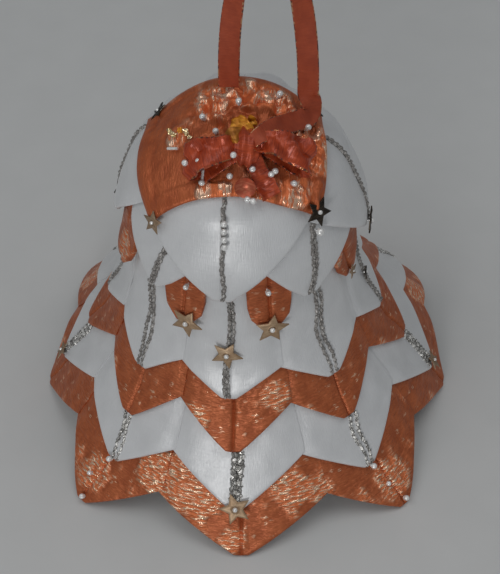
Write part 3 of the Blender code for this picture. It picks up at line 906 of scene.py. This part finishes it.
def cap_surface(right, back):
    """Outer and inner heights of the cap's cloth over its own flat coordinates.

    Pleats run from front to back over the crown and along the right edge, small crumples lie all
    over, a turned hem thickens the border, and the edges are rounded off by a quarter circle.
    """
    edge = np.minimum(CAP_WIDTH / 2 - np.abs(right), CAP_DEPTH / 2 - np.abs(back))
    away = np.hypot((right - BUNCHED_RIGHT) * 0.75, back - BUNCHED_BACK)
    bunched = 1 - smooth(away, *BUNCHED_RADII)
    border = smooth(right, *BORDER_RIGHT) * smooth(-back, *BORDER_FRONT)
    swing = 0.0006 * ripples(right, back, 0.012, 31, 4)
    pleats = np.sin(2 * math.pi * (right + swing) / CAP_PLEAT) + 0.6 * ripples(right, back * 0.4, 0.0022, 32)
    folds = np.abs(ripples(right, back * 1.4, 0.0050, 34)) + 0.6 * np.abs(ripples(right, back, 0.0030, 36))
    height = (0.00034 * bunched + 0.00026 * border) * pleats + 0.00003 * ripples(right, back, 0.0050, 33)
    height = height + (0.00050 * bunched + 0.00030 * border) * (folds - 0.9)
    hem = 1 - smooth(edge, HEM_WIDTH - 0.0004, HEM_WIDTH + 0.0002)
    bead = edge / 0.0009 * np.exp(1 - edge / 0.0009)
    inside = smooth(edge, 0.0001, 0.0016)
    half = CAP_THICKNESS / 2 * rounded(edge, FOLD_ROUND)
    outer = CAP_MIDDLE + half + HEM_PLY * hem * inside + 0.00012 * bead + height * inside
    return outer, CAP_MIDDLE - half


def drawn_in(right, back):
    """Places on the cap's cloth as its pins draw it in: the front left corner down and inwards, the
    rear edge forward, and its two corners further, along bell curves about each corner."""
    side, end = CAP_WIDTH / 2, CAP_DEPTH / 2
    left = np.exp(-((right + side) ** 2 + (back + end) ** 2) / LEFT_CORNER_RADIUS**2)
    rear = np.exp(-((np.abs(right) - side) ** 2 + (back - end) ** 2) / REAR_CORNERS_RADIUS**2)
    inwards, forwards = REAR_CORNERS_DRAWN
    forward = LEFT_CORNER_DRAWN * left + forwards * rear + REAR_EDGE_DRAWN * smooth(back, 0, end)
    return right + LEFT_CORNER_DRAWN * left - inwards * np.sign(right) * rear, back - forward


def inset_steps(width, count):
    """Steps across a cloth of some width, close together at both edges."""
    inset = np.concatenate([[0, 0.00008, 0.0002, 0.0004, 0.0007], np.linspace(0.0011, width / 2, count)])
    return np.concatenate([-width / 2 + inset, (width / 2 - inset)[-2::-1]])


def add_cap():
    """The orange cloth over the crown, its front corners between the dome's white points."""
    right, back = np.meshgrid(inset_steps(CAP_WIDTH, 60), inset_steps(CAP_DEPTH, 44))
    wave = 1 + 0.011 * ripples(right, back, 0.013, 35, 4)
    outer_height, inner_height = cap_surface(right, back)
    laid = as_pinned(*drawn_in(right * wave, back * wave))
    outer = on_cap(*laid, outer_height)
    inner = on_cap(*laid, inner_height)
    points, faces, uv = cloth_shell(outer, inner, np.stack([back, right], -1) / CENTIMETRE)
    cap = add_piece("cloth_crown_cap", points, faces, CAP_LAME, uv, stands_for=["crown_cap"])


def star_shape(scale):
    """A star sequin: rings of ten corners shrinking to the middle, embossed along its five arms,
    with a ring of foil round the pin hole, over a flat back."""
    corner = np.arange(10)
    angle = corner * math.pi / 5
    arm = corner % 2 == 0
    outline = np.where(arm, STAR_RADIUS, STAR_WAIST)
    rings = [(1.0, 0.0, 0.0), (1.0, 0.00022, 0.00022), (0.96, 0.00034, 0.00030), (0.66, 0.00052, 0.00030)]
    hole = [(0.00105, 0.00040), (0.00085, 0.00052), (0.0006, 0.00030)]
    shapes = [(outline * share, np.where(arm, high, low)) for share, high, low in rings]
    shapes += [(np.full(10, radius), np.full(10, height)) for radius, height in hole]
    points = [np.stack([r * np.sin(angle), r * np.cos(angle), z], -1) for r, z in shapes]
    faces = tube_faces(len(shapes), 10)
    return scale * np.concatenate(points), [face[::-1] for face in faces]


def turned(profile, sides):
    """A turned shape: a profile of radius and height, from the bottom pole to the top one."""
    angle = np.arange(sides) * 2 * math.pi / sides
    rings = [np.stack([r * np.cos(angle), r * np.sin(angle), 0 * angle + z], -1) for r, z in profile]
    return np.concatenate(rings), tube_faces(len(profile), sides)


def pin_head(radius):
    """A pin's bead: a ball of twelve rings on a short shaft with a flared collar."""
    polar = np.linspace(-1.15, 1.5, 12)
    ball = [(radius * math.cos(p), radius * (1.02 + math.sin(p))) for p in polar]
    shaft = [(PIN_SHAFT, -0.0006), (PIN_SHAFT, 0.0), (PIN_COLLAR, 0.00006)]
    return turned(shaft + ball, 18)


def cup_shape(radius, depth):
    """A cupped sequin: a bowl of some depth for its radius, with a pin hole."""
    thickness = 0.00012
    bowl = [(radius * s, thickness + depth * radius * s * s) for s in np.linspace(0.2, 1, 9)]
    under = [(r, z - thickness) for r, z in bowl]
    return turned([*under, *reversed(bowl)], 20)


def add_trim(name, shape, seat, finish, spin=0.0, lean=0.0, stands_for=()):
    """A small piece on its seat."""
    points, faces = shape
    return add_piece(name, seated(seat, points, spin, lean), faces, finish, stands_for=stands_for)


def add_pin(name, seat, scale):
    """A pin's bead, its size a share of the largest."""
    add_trim(name, pin_head(PIN_RADIUS * scale), seat, STEEL)


def add_star(name, seat, finish, spin, scale=1.0, stands_for=()):
    """A star sequin and the pin through it."""
    add_trim(name, star_shape(scale), seat, finish, spin, 0.0, stands_for)
    add_pin(f"{name}_pin", seat, 0.7 * scale)


def add_stars():
    """Stars on the cap's corners, the lower white tips, the shoulder tips, the waist seams and the
    side tips of the dome."""
    rows = {row.name: row for row in ROWS}
    draw = np.random.default_rng(41)
    lower, waist = rows["lower_white_point"], rows["waist_white_point"]
    shoulder, dome = rows["shoulder_orange_point"], rows["dome_white_point"]
    across, along = CAP_WIDTH / 2 - STAR_INSET, CAP_DEPTH / 2 - STAR_INSET
    # The cap's corner stars take darker copies of the gold foil: painted shade.
    corners = [
        (across, -along, DARK_SHADED_GOLD, 0.8),
        (across - 0.0010, along, DARK_SHADED_GOLD, 0.6),
        (0.0022 - across, along, DARK_SHADED_GOLD, 0.6),
        (0.0008 - across, -along - 0.0011, SHADED_GOLD, 0.65),
    ]
    seam = waist.tip + WAIST_STAR_UP
    on_lower = lift_at(lower.tip, 1) + 0.0012
    on_waist = lift_at(seam, 3) + 0.0011
    on_shoulder = lift_at(shoulder.tip, 4) + 0.0009
    for i, (right, back, foil, scale) in enumerate(corners):
        spins = draw.uniform(-0.6, 0.6, 3)
        right, back = as_pinned(*drawn_in(right, back))
        arc = CROWN_ARC - math.hypot(right, back)
        seat = bell_seat(arc, math.atan2(right, -back), lift_at(arc, 7) + 0.0010)
        add_star(f"star_cap_{i + 1}", seat, foil, spins[0], scale, [f"cap_star_{i + 1}"])
        # Stars at the sides of the skirt and the waist take darker copies of the gold foil: painted shade.
        at_side = i in (1, 3)
        seat = bell_seat(*lower.at_tip(2 * i, STAR_UP), on_lower)
        foil, scale = (SHADED_GOLD, 0.65) if at_side else (GOLD, 0.95)
        add_star(f"star_skirt_{i + 1}", seat, foil, spins[1], scale, [f"skirt_star_{i + 1}"])
        seat = bell_seat(seam, waist.azimuth(2 * i) - 0.02, on_waist)
        foil, scale = (DARK_SHADED_GOLD, 0.45) if at_side else (GOLD, 0.9)
        add_star(f"star_waist_{i + 1}", seat, foil, spins[2], scale)
    for i in (1, 3):
        # The dome's side stars take the near-black copy of the gold foil: painted shade.
        seat = bell_seat(dome.tip + 0.0004, dome.azimuth(i), lift_at(dome.tip, 6) + 0.0010)
        add_star(f"star_dome_{i + 1}", seat, DARK_SHADED_GOLD, 0.3, 0.8)
    for i in range(shoulder.count):
        seat = bell_seat(*shoulder.at_tip(i, STAR_UP, 0.0009 if i == 7 else 0), on_shoulder)
        # The shoulder's side stars take the darker copy of the gold foil: painted shade.
        foil, scale = (GOLD, 0.95) if i in (0, 3, 4, 7) else (SHADED_GOLD, 0.45)
        add_star(f"star_shoulder_{i + 1}", seat, foil, draw.uniform(-0.6, 0.6), scale)


def add_pins():
    """Bead-headed pins: at the skirt's two front corners, at the tops of the shoulder row's front
    and rear points, below the cap's right corner, down the front of the dome, and scattered over
    the cap."""
    hem, lower, shoulder = ROWS[0], ROWS[1], ROWS[4]
    for i in (1, 7):
        flare = hem.touch(i).flare
        add_pin(f"pin_hem_tip_{i}", bell_seat(*hem.at_tip(i, *HEM_TIP_PIN), 0.0010 + flare), 0.75)
        add_pin(f"pin_hem_seam_{i}", bell_seat(*hem.at_tip(i, *HEM_SEAM_PIN), 0.0011 + flare / 4), 0.7)
        seat = bell_seat(*lower.at_tip(i, 0.0002), lift_at(lower.tip, 1) + 0.0011)
        add_pin(f"pin_lower_tip_{i}", seat, 0.8)
    for i in (0, 3, 4, 7):
        turn = shoulder.azimuth(i) + (0.05 if i % 2 else -0.02)
        seat = bell_seat(shoulder.tip + SHOULDER_PIN_UP, turn, lift_at(shoulder.tip, 4) + PIN_LIFT)
        add_pin(f"pin_shoulder_{i + 1}", seat, 0.7)
    seat = bell_seat(CORNER_PIN_ARC, CORNER_PIN_TURN, lift_at(CORNER_PIN_ARC, 6) + PIN_LIFT)
    add_pin("pin_cap_corner", seat, 1.0)
    for i, arc in enumerate(DOME_PIN_ARCS):
        seat = bell_seat(arc, -0.036 - 0.003 * i, lift_at(arc, 6) + PIN_LIFT)
        add_pin(f"pin_dome_{i + 1}", seat, 0.75)
    for number, (right, front, height) in enumerate(CAP_PINS):
        seat = cap_seat(right * MILLIMETRE, -front * MILLIMETRE, height * MILLIMETRE)
        add_pin(f"pin_cap_{number + 1}", seat, 0.75)


def flake_shape(radius, seed):
    """A bent flake of foil: rings with an uneven outline, shrinking to the middle of a wavy top."""
    angle = np.arange(20) * math.pi / 10
    share = np.array([0.2, 1, 1, 0.94, 0.7, 0.45, 0.2])[:, None]
    top = np.array([0, 0, 1, 1, 1, 1, 1])[:, None]
    outline = 1 + 0.22 * ripples(np.cos(angle), np.sin(angle), 1.3, seed, 4)
    x, y = radius * outline * share * np.cos(angle), radius * outline * share * np.sin(angle)
    bent = 0.34 * radius * ripples(x, y, 2.2 * radius, seed + 1, 4)
    points = np.stack([x, y, bent + 0.00014 * top], -1)
    return points.reshape(-1, 3), tube_faces(*x.shape)


def add_sequins():
    """A red cup below the bow's knot, and bent flakes of amber and gold foil above it."""
    cup = cap_seat(0.0024, -0.0159, 0.0012)
    add_trim("sequin_red_cup", cup_shape(0.0018, 0.5), cup, RED, 0.3, 0.3)
    for number, (right, front, height, radius, lean, finish) in enumerate(FLAKES):
        seat = cap_seat(right * MILLIMETRE, -front * MILLIMETRE, height * MILLIMETRE)
        shape = flake_shape(radius * MILLIMETRE, 60 + number)
        add_trim(f"foil_flake_{number + 1}", shape, seat, finish, 0.3, lean)


def add_rods():
    """Pins that lie along the cap's cloth: a thin rod from place to place, eight corners around."""
    around = np.arange(8) * math.pi / 4
    for number, (start, end) in enumerate(RODS):
        right, front = (np.linspace(*pair, 12) * MILLIMETRE for pair in zip(start, end))
        centres = on_cap(right, -front, ROD_LIFT)
        out = unit(on_cap(right, -front, ROD_LIFT + PLY) - centres)
        side = unit(np.cross(np.gradient(centres, axis=0), out))
        ring = np.cos(around)[:, None] * side[:, None] + np.sin(around)[:, None] * out[:, None]
        points = centres[:, None] + ROD_RADIUS * ring
        add_piece(f"pin_shaft_{number + 1}", points, tube_faces(12, 8), STEEL)


def ribbon_grid(centres, faces_to, widths, thickness, cup=0.0, crumple=0.0, seed=0):
    """A flat ribbon along centres: eleven points across each face, rounded to a thin edge, the face
    turned the way faces_to looks, cupped by a share of the width, and crumpled by smooth ripples."""
    along = unit(np.gradient(centres, axis=0))
    side = unit(np.cross(along, faces_to))
    face = np.cross(side, along)
    across = np.array([-1, -0.97, -0.88, -0.6, -0.3, 0, 0.3, 0.6, 0.88, 0.97, 1])
    half = np.asarray(widths)[:, None] / 2
    travel = np.concatenate([[0], np.cumsum(np.linalg.norm(np.diff(centres, axis=0), axis=1))])[:, None]
    bend = cup * half * (across**2 - 0.4) + crumple * ripples(across * half, travel, RIBBON_CRUMPLES, seed)
    body = thickness / 2 * rounded(1 - np.abs(across), 0.08)
    shells = []
    for sign in (1, -1):
        lift = (bend + sign * body)[..., None]
        shells.append(centres[:, None] + side[:, None] * (across * half)[..., None] + face[:, None] * lift)
    uv = np.stack(np.broadcast_arrays(across, travel / CENTIMETRE), -1)
    points, faces, coordinates = cloth_shell(*shells, uv)
    return points, faces[:, ::-1], coordinates


def add_ribbon(name, centres, faces_to, widths, finish, cup, crumple=0.0, body="bell", stands_for=()):
    """A length of ribbon along centres, on its body."""
    points, faces, uv = ribbon_grid(centres, faces_to, widths, RIBBON_THICKNESS, cup, crumple, len(name))
    return add_piece(name, points, faces, finish, uv, body, stands_for)


def pivot_height():
    """Height of the hinge at the hanging loop's feet."""
    return float(on_cap(0.0, 0.0, 0.0)[2]) + LOOP_STANDOFF


def add_hanging_loop():
    """The hanging ribbon: half a superellipse over its two feet, its face to the front at the feet
    and turned outwards over the top."""
    angle = np.linspace(math.pi, 0, 121)
    rise = np.sin(angle).clip(0) ** (2 / LOOP_FULLNESS)
    reach = np.sign(np.cos(angle)) * np.abs(np.cos(angle)) ** (2 / LOOP_FULLNESS)
    across = (1 + reach) * LOOP_SPREAD / 2 - LOOP_LEFT
    centres = np.stack([across, 0 * angle, pivot_height() + rise * LOOP_RISE], -1)
    over = np.sin(angle).clip(0)[:, None] ** 2
    outward = np.stack([reach, 0 * angle, rise], -1)
    faces_to = (1 - over) * np.array([0.0, -1.0, 0.0]) + over * outward
    widths = np.full(len(angle), RIBBON_WIDTH)
    loop = add_ribbon("ribbon_hanging_loop", centres, faces_to, widths, RIBBON, 0.06,
                      body="loop", stands_for=["hanging_loop"])


def bow_loop(side):
    """One loop of the bow: the teardrop sin t sin t/2 drawn out from the knot and laid on the cap."""
    turn = np.linspace(0.62, 2 * math.pi - 0.62, 81)
    reach = LEFT_LOOP_REACH if side < 0 else RIGHT_LOOP_REACH
    right = BOW_RIGHT + side * reach * (1 - np.cos(turn)) / 2
    teardrop = np.sin(turn) * np.sin(turn / 2)
    height = BOW_LIFT + BOW_SWELL * teardrop / teardrop.max()
    front = -BOW_FRONT + 0.0006 * np.cos(turn) + side * 0.0013 * np.sin(turn / 2)
    centres = on_cap(right, front, height)
    breadth = on_cap(right, front + PLY, height) - centres
    faces_to = np.cross(breadth, np.gradient(centres, axis=0))
    widths = BOW_NARROW + (BOW_WIDE - BOW_NARROW) * np.sin(turn / 2) ** 2
    name = "left" if side < 0 else "right"
    add_ribbon(f"ribbon_bow_{name}_loop", centres, faces_to, widths, BOW_RIBBON, 0.10, 0.00060)


def bow_tail(name, degrees):
    """One tail of the bow, from inside the knot down over the front of the cap."""
    along = np.linspace(0.11, 1, 44)
    heading = math.radians(degrees)
    right = BOW_RIGHT + TAIL_LENGTH * along * math.sin(heading)
    back = -BOW_FRONT - TAIL_LENGTH * along * math.cos(heading)
    height = 0.0007 + 0.0018 * (1 - along) ** 3 + 0.0004 * np.sin(along * 8 + degrees) ** 2 * along
    centres = on_cap(right, back, height)
    faces_to = on_cap(right, back, height + PLY) - centres
    widths = RIBBON_WIDTH * (0.86 + 0.14 * along)
    add_ribbon(f"ribbon_bow_{name}_tail", centres, faces_to, widths, BOW_RIBBON, 0.12, 0.00030)


def bow_lead():
    """The ribbon from inside the knot, over its top and along the cap to the loop's right foot."""
    along = np.linspace(0, 1, 48)
    right_foot = LOOP_SPREAD - LOOP_LEFT
    foot = np.array([right_foot, 0, pivot_height()])
    reach = CROWN_ARC - float(np.interp(-right_foot, -LINE["r"], LINE["arc"]))
    across = 1 - (1 - along) ** 2
    right = BOW_RIGHT + (reach - BOW_RIGHT) * across
    back = -BOW_FRONT * (1 - across)
    from_knot = 1 - smooth(across, 0.05, 0.60)
    tucked_in = 1 - smooth(across, 0, 0.12)
    height = CLEARANCE + RIBBON_THICKNESS / 2 + LEAD_LIFT * from_knot - LEAD_TUCK * tucked_in
    laid = on_cap(right, back, height)
    rising = np.clip((along - 0.4) / 0.6, 0, 1)[:, None] ** 2
    centres = np.concatenate([laid + rising * (foot - np.array([0, 0, 0.001]) - laid[-1]), [foot]])
    normal = unit(on_cap(right, back, height + PLY) - laid)
    front = np.array([0.0, -1.0, 0.0])
    faces_to = np.concatenate([normal * (1 - rising) + rising * front, [front]])
    widths = RIBBON_WIDTH * (0.6 + 0.4 * smooth(np.append(across, 1), 0, 0.3))
    add_ribbon("ribbon_bow_lead", centres, faces_to, widths, RIBBON, 0.10, 0.00012)


def bow_knot():
    """The knot: an ellipsoid in cloth coordinates, its ends to the left and right, with the ribbon's
    turns as ridges round it."""
    polar = np.linspace(0.06, math.pi - 0.06, 33)[:, None]
    turn = np.linspace(0, 2 * math.pi, 41)[:-1]
    folds = 1 + 0.09 * np.sin(11 * polar + 1.2 * np.sin(turn)) + 0.05 * np.sin(3 * turn + 2 * polar)
    right = BOW_RIGHT + KNOT_RIGHT * np.cos(polar) + 0 * turn
    back = -BOW_FRONT - KNOT_BACK * np.sin(polar) * np.cos(turn) * folds
    height = KNOT_LIFT + KNOT_RISE * np.sin(polar) * np.sin(turn) * folds
    points = on_cap(right, back, height)
    uv = np.stack(np.broadcast_arrays(0.8 * np.cos(polar), turn / 3), -1)
    add_piece("ribbon_bow_knot", points, tube_faces(*right.shape), BOW_RIBBON, uv,
              stands_for=["ribbon_bow"])


def add_bow():
    """The bow: a knot, two loops, two tails, and the lead to the hanging loop."""
    bow_knot()
    bow_loop(-1)
    bow_loop(1)
    bow_tail("left", -62)
    bow_tail("right", 38)
    bow_lead()


def finish_foam():
    """The foam core keeps its solid, with the look of pressed foam."""
    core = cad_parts["foam_core"]
    core.data.materials.clear()
    core.data.materials.append(foam_finish())


def add_stage():
    """A pale floor, an even soft sky, a lamp low in front and two wide soft lamps above."""
    mesh = bpy.data.meshes.new("floor")
    corners = [(-1, -1, 0), (1, -1, 0), (1, 1, 0), (-1, 1, 0)]
    mesh.from_pydata((FLOOR_SIZE * np.array(corners)).tolist(), [], [(0, 1, 2, 3)])
    mesh.materials.append(floor_finish())
    floor = bpy.data.objects.new("floor", mesh)
    floor.location.z = -FLOOR_DROP
    bpy.context.scene.collection.objects.link(floor)

    world = bpy.data.worlds.new("soft_sky")
    world.use_nodes = True
    sky = world.node_tree.nodes["Background"]
    sky.inputs["Color"].default_value = SKY_COLOUR
    sky.inputs["Strength"].default_value = SKY_STRENGTH
    bpy.context.scene.world = world

    for name, place, size, power in LAMPS:
        lamp = bpy.data.lights.new(name, "AREA")
        lamp.shape = "DISK"
        lamp.size = size
        lamp.energy = power
        lamp_object = bpy.data.objects.new(name, lamp)
        bpy.context.scene.collection.objects.link(lamp_object)
        look_at(lamp_object, np.array(place), np.array([0.0, 0.0, TARGET_HEIGHT]))


def look_at(obj, place, target):
    """Puts a lamp at a place with its beam, its own -Z, towards a target."""
    back = unit(place - target)
    right = unit(np.cross([0.0, 0.0, 1.0], back))
    matrix = np.eye(4)
    matrix[:3, 0], matrix[:3, 1], matrix[:3, 2], matrix[:3, 3] = right, np.cross(back, right), back, place
    obj.matrix_world = Matrix(matrix)


def add_camera():
    """The camera at the photograph's angle: turned about the bell, raised, and rolled a little."""
    across, along = math.cos(CAMERA_ELEVATION), math.sin(CAMERA_ELEVATION)
    back = np.array([math.sin(CAMERA_AZIMUTH) * across, -math.cos(CAMERA_AZIMUTH) * across, along])
    right = np.array([math.cos(CAMERA_AZIMUTH), math.sin(CAMERA_AZIMUTH), 0.0])
    up = np.cross(back, right)
    target = np.array([0.0, 0.0, TARGET_HEIGHT]) + right * TARGET_RIGHT
    rolled_right = math.cos(CAMERA_ROLL) * right + math.sin(CAMERA_ROLL) * up
    matrix = np.eye(4)
    matrix[:3, 0], matrix[:3, 1], matrix[:3, 2] = rolled_right, np.cross(back, rolled_right), back
    matrix[:3, 3] = target + back * CAMERA_DISTANCE
    data = bpy.data.cameras.new("camera")
    data.lens = CAMERA_LENS_MM
    data.sensor_width = CAMERA_SENSOR_MM
    camera = bpy.data.objects.new("camera", data)
    bpy.context.scene.collection.objects.link(camera)
    camera.matrix_world = Matrix(matrix)
    bpy.context.scene.camera = camera


LINE = bell_line()
CROWN_ARC = float(LINE["arc"][-1])
ROWS = plan_rows()

# Lamps: name, place, width and power
LAMPS = [
    ("front_lamp", (-0.060, -0.46, 0.125), 0.12, 0.43),
    ("left_softbox", (-0.40, -0.30, 0.80), 0.6, 1.05),
    ("top_softbox", (0.22, -0.02, 0.90), 0.6, 1.2),
]

# Pins on the cap in millimetres: to the right and front of the crown, and over the cloth
CAP_PINS = [
    (0.4, 3.3, 0.6), (6.1, 0.3, 0.6), (-4.7, 5.6, 0.6), (-2.6, 8.1, 0.6), (0.4, 11.9, 3.4), (3.3, 13.4, 1.2),
    (-0.2, 14.7, 0.6), (6.4, 13.6, 0.8), (7.0, 13.0, 0.8), (10.4, 13.9, 0.6), (-6.4, 12.6, 3.4),
    (-4.4, 12.6, 3.4), (-4.8, 15.5, 0.6), (11.4, 4.0, 0.6), (2.9, 17.8, 0.6), (3.9, 17.9, 0.6),
]

# Pins that lie on the cap in millimetres: both ends, to the right and front of the crown
RODS = [((-10.9, 9.0), (-9.0, 9.6)), ((-4.5, 12.8), (-4.8, 15.5))]

# Crush spots on the rows, where the orange cloth is also painted with highlights: arc length in millimetres,
# turn in degrees, radius in millimetres
BELL_GLINT_SPOTS = [
    (13.5, -16, 8.0), (12.5, -25, 6.0), (11.0, -7.5, 5.5), (5.5, -44, 5.5), (12.5, 19, 6.0),
    (5.0, 50.5, 6.0), (10.5, 28, 4.0), (27.5, -14, 4.0), (32.5, 18, 4.0), (57.5, 56, 4.0),
    (54.5, -69, 4.5), (3.0, 1.0, 4.0), (12.0, 170, 6.0), (11.0, 120, 6.0), (11.0, -120, 6.0),
    (30.0, 150, 5.0), (30.0, -110, 5.0),
]

# Crush spots on the cap, where its cloth is also painted with highlights, in millimetres: to the right and
# front of the crown, and radius
CAP_GLINT_SPOTS = [
    (-3.6, 2.0, 5.0), (2.0, 0.8, 5.0), (6.5, 1.0, 4.5), (11.5, 7.6, 4.5), (15.6, 8.0, 4.0), (15.5, 3.0, 3.0),
    (11.5, 15.0, 4.5), (-1.5, 17.4, 3.0), (-4.5, 17.0, 2.6), (2.5, 17.8, 3.0), (5.7, 18.0, 3.0),
    (-10.0, 7.0, 3.0),
]
GLINTS = [
    (tuple(map(float, on_bell(arc * MILLIMETRE, math.radians(turn), 0.002))), radius * MILLIMETRE)
    for arc, turn, radius in BELL_GLINT_SPOTS
]
CAP_GLINTS = [
    (tuple(map(float, on_cap(right * MILLIMETRE, -front * MILLIMETRE, 0.0))), radius * MILLIMETRE)
    for right, front, radius in CAP_GLINT_SPOTS
]

# The orange cloths' glint colour and sparkles are painted highlights.
LAME = lame_finish(
    "orange_lame", dark=(0.40, 0.094, 0.029), bright=(0.54, 0.145, 0.050), glint=(1.0, 0.72, 0.50),
    rib_scale=(5.0, 19.0, 1.0), painted_sparkles=0.6, spots=GLINTS,
)
CAP_LAME = lame_finish(
    "cap_lame", dark=(0.42, 0.092, 0.028), bright=(0.54, 0.134, 0.043), glint=(1.0, 0.66, 0.47),
    rib_scale=(2.3, 5.4, 1.0), painted_sparkles=0.0, spots=CAP_GLINTS,
)
SATIN = satin_finish("white_satin", shade=(0.60, 0.605, 0.615), sheen=(0.67, 0.675, 0.685))
BRAID = braid_finish(
    "silver_braid", dark=(0.27, 0.25, 0.235), bright=(0.44, 0.42, 0.40), gap=(0.23, 0.215, 0.20), metallic=0.2
)
BRIGHT_BRAID = braid_finish(
    "bright_braid", dark=(0.36, 0.35, 0.33), bright=(0.96, 0.94, 0.90), gap=(0.22, 0.21, 0.20), metallic=0.75
)

# Foils: name, colour, rubbed colour, roughness and metallic share
GOLD = sequin_finish("gold_foil", (0.42, 0.28, 0.17), (0.50, 0.36, 0.23), 0.40, 0.6)
AMBER = sequin_finish("amber_foil", (0.62, 0.22, 0.012), (0.86, 0.40, 0.03), 0.26, 0.4)
# Painted shade: a darker copy of the amber foil for one of the amber flakes.
SHADED_AMBER = sequin_finish("shaded_amber_foil", (0.34, 0.115, 0.010), (0.52, 0.20, 0.018), 0.26, 0.4)
GOLD_FLAKE = sequin_finish("bright_gold_foil", (0.78, 0.60, 0.32), (0.92, 0.78, 0.52), 0.18)
# Painted shade: a darker copy of the gold foil for stars at the sides and the cap's front left corner.
SHADED_GOLD = sequin_finish("shaded_gold_foil", (0.30, 0.205, 0.13), (0.38, 0.28, 0.19), 0.45, 0.5)
RED = sequin_finish("red_foil", (0.46, 0.10, 0.05), (0.60, 0.20, 0.11), 0.3, 0.5)
# Painted shade: a near-black copy of the gold foil for stars on the cap's corners, the waist's sides and the
# dome's sides.
DARK_SHADED_GOLD = sequin_finish("dark_shaded_gold_foil", (0.045, 0.036, 0.03), (0.09, 0.07, 0.05), 0.2)
STEEL = bead_finish("pin_steel", (0.95, 0.94, 0.92), 0.12)

# Flakes in millimetres: to the right and front of the crown, over the cloth, radius; lean; foil
FLAKES = [
    (0.9, 7.9, 1.9, 1.9, 0.75, AMBER), (2.5, 6.5, 1.5, 0.9, 0.75, AMBER),
    # The third flake takes the darker copy of the amber foil: painted shade.
    (0.2, 9.4, 2.7, 1.6, 0.2, SHADED_AMBER), (-10.5, 6.2, 0.8, 0.7, 0.7, GOLD_FLAKE),
    (-9.8, 6.9, 0.8, 0.5, 0.4, GOLD_FLAKE), (-7.6, 7.2, 0.8, 0.6, 0.6, GOLD_FLAKE),
    (-7.0, 8.2, 0.8, 0.4, 0.5, GOLD_FLAKE), (-8.6, 6.6, 0.8, 0.5, 0.5, AMBER),
]
RIBBON = ribbon_finish(
    "red_ribbon", dark=(0.34, 0.054, 0.020), bright=(0.43, 0.076, 0.028), thread=(0.62, 0.36, 0.20),
    roughness=0.46, relief=0.5,
)
BOW_RIBBON = ribbon_finish(
    "bow_ribbon", dark=(0.26, 0.030, 0.010), bright=(0.56, 0.085, 0.026), thread=(0.50, 0.20, 0.09),
    roughness=0.25, relief=1.4,
)

add_camera()
add_hanging_loop()
add_points()
add_braids()
add_cap()
add_bow()
add_stars()
add_pins()
add_sequins()
add_rods()
finish_foam()
add_stage()
bpy.context.scene.view_settings.view_transform = "Standard"
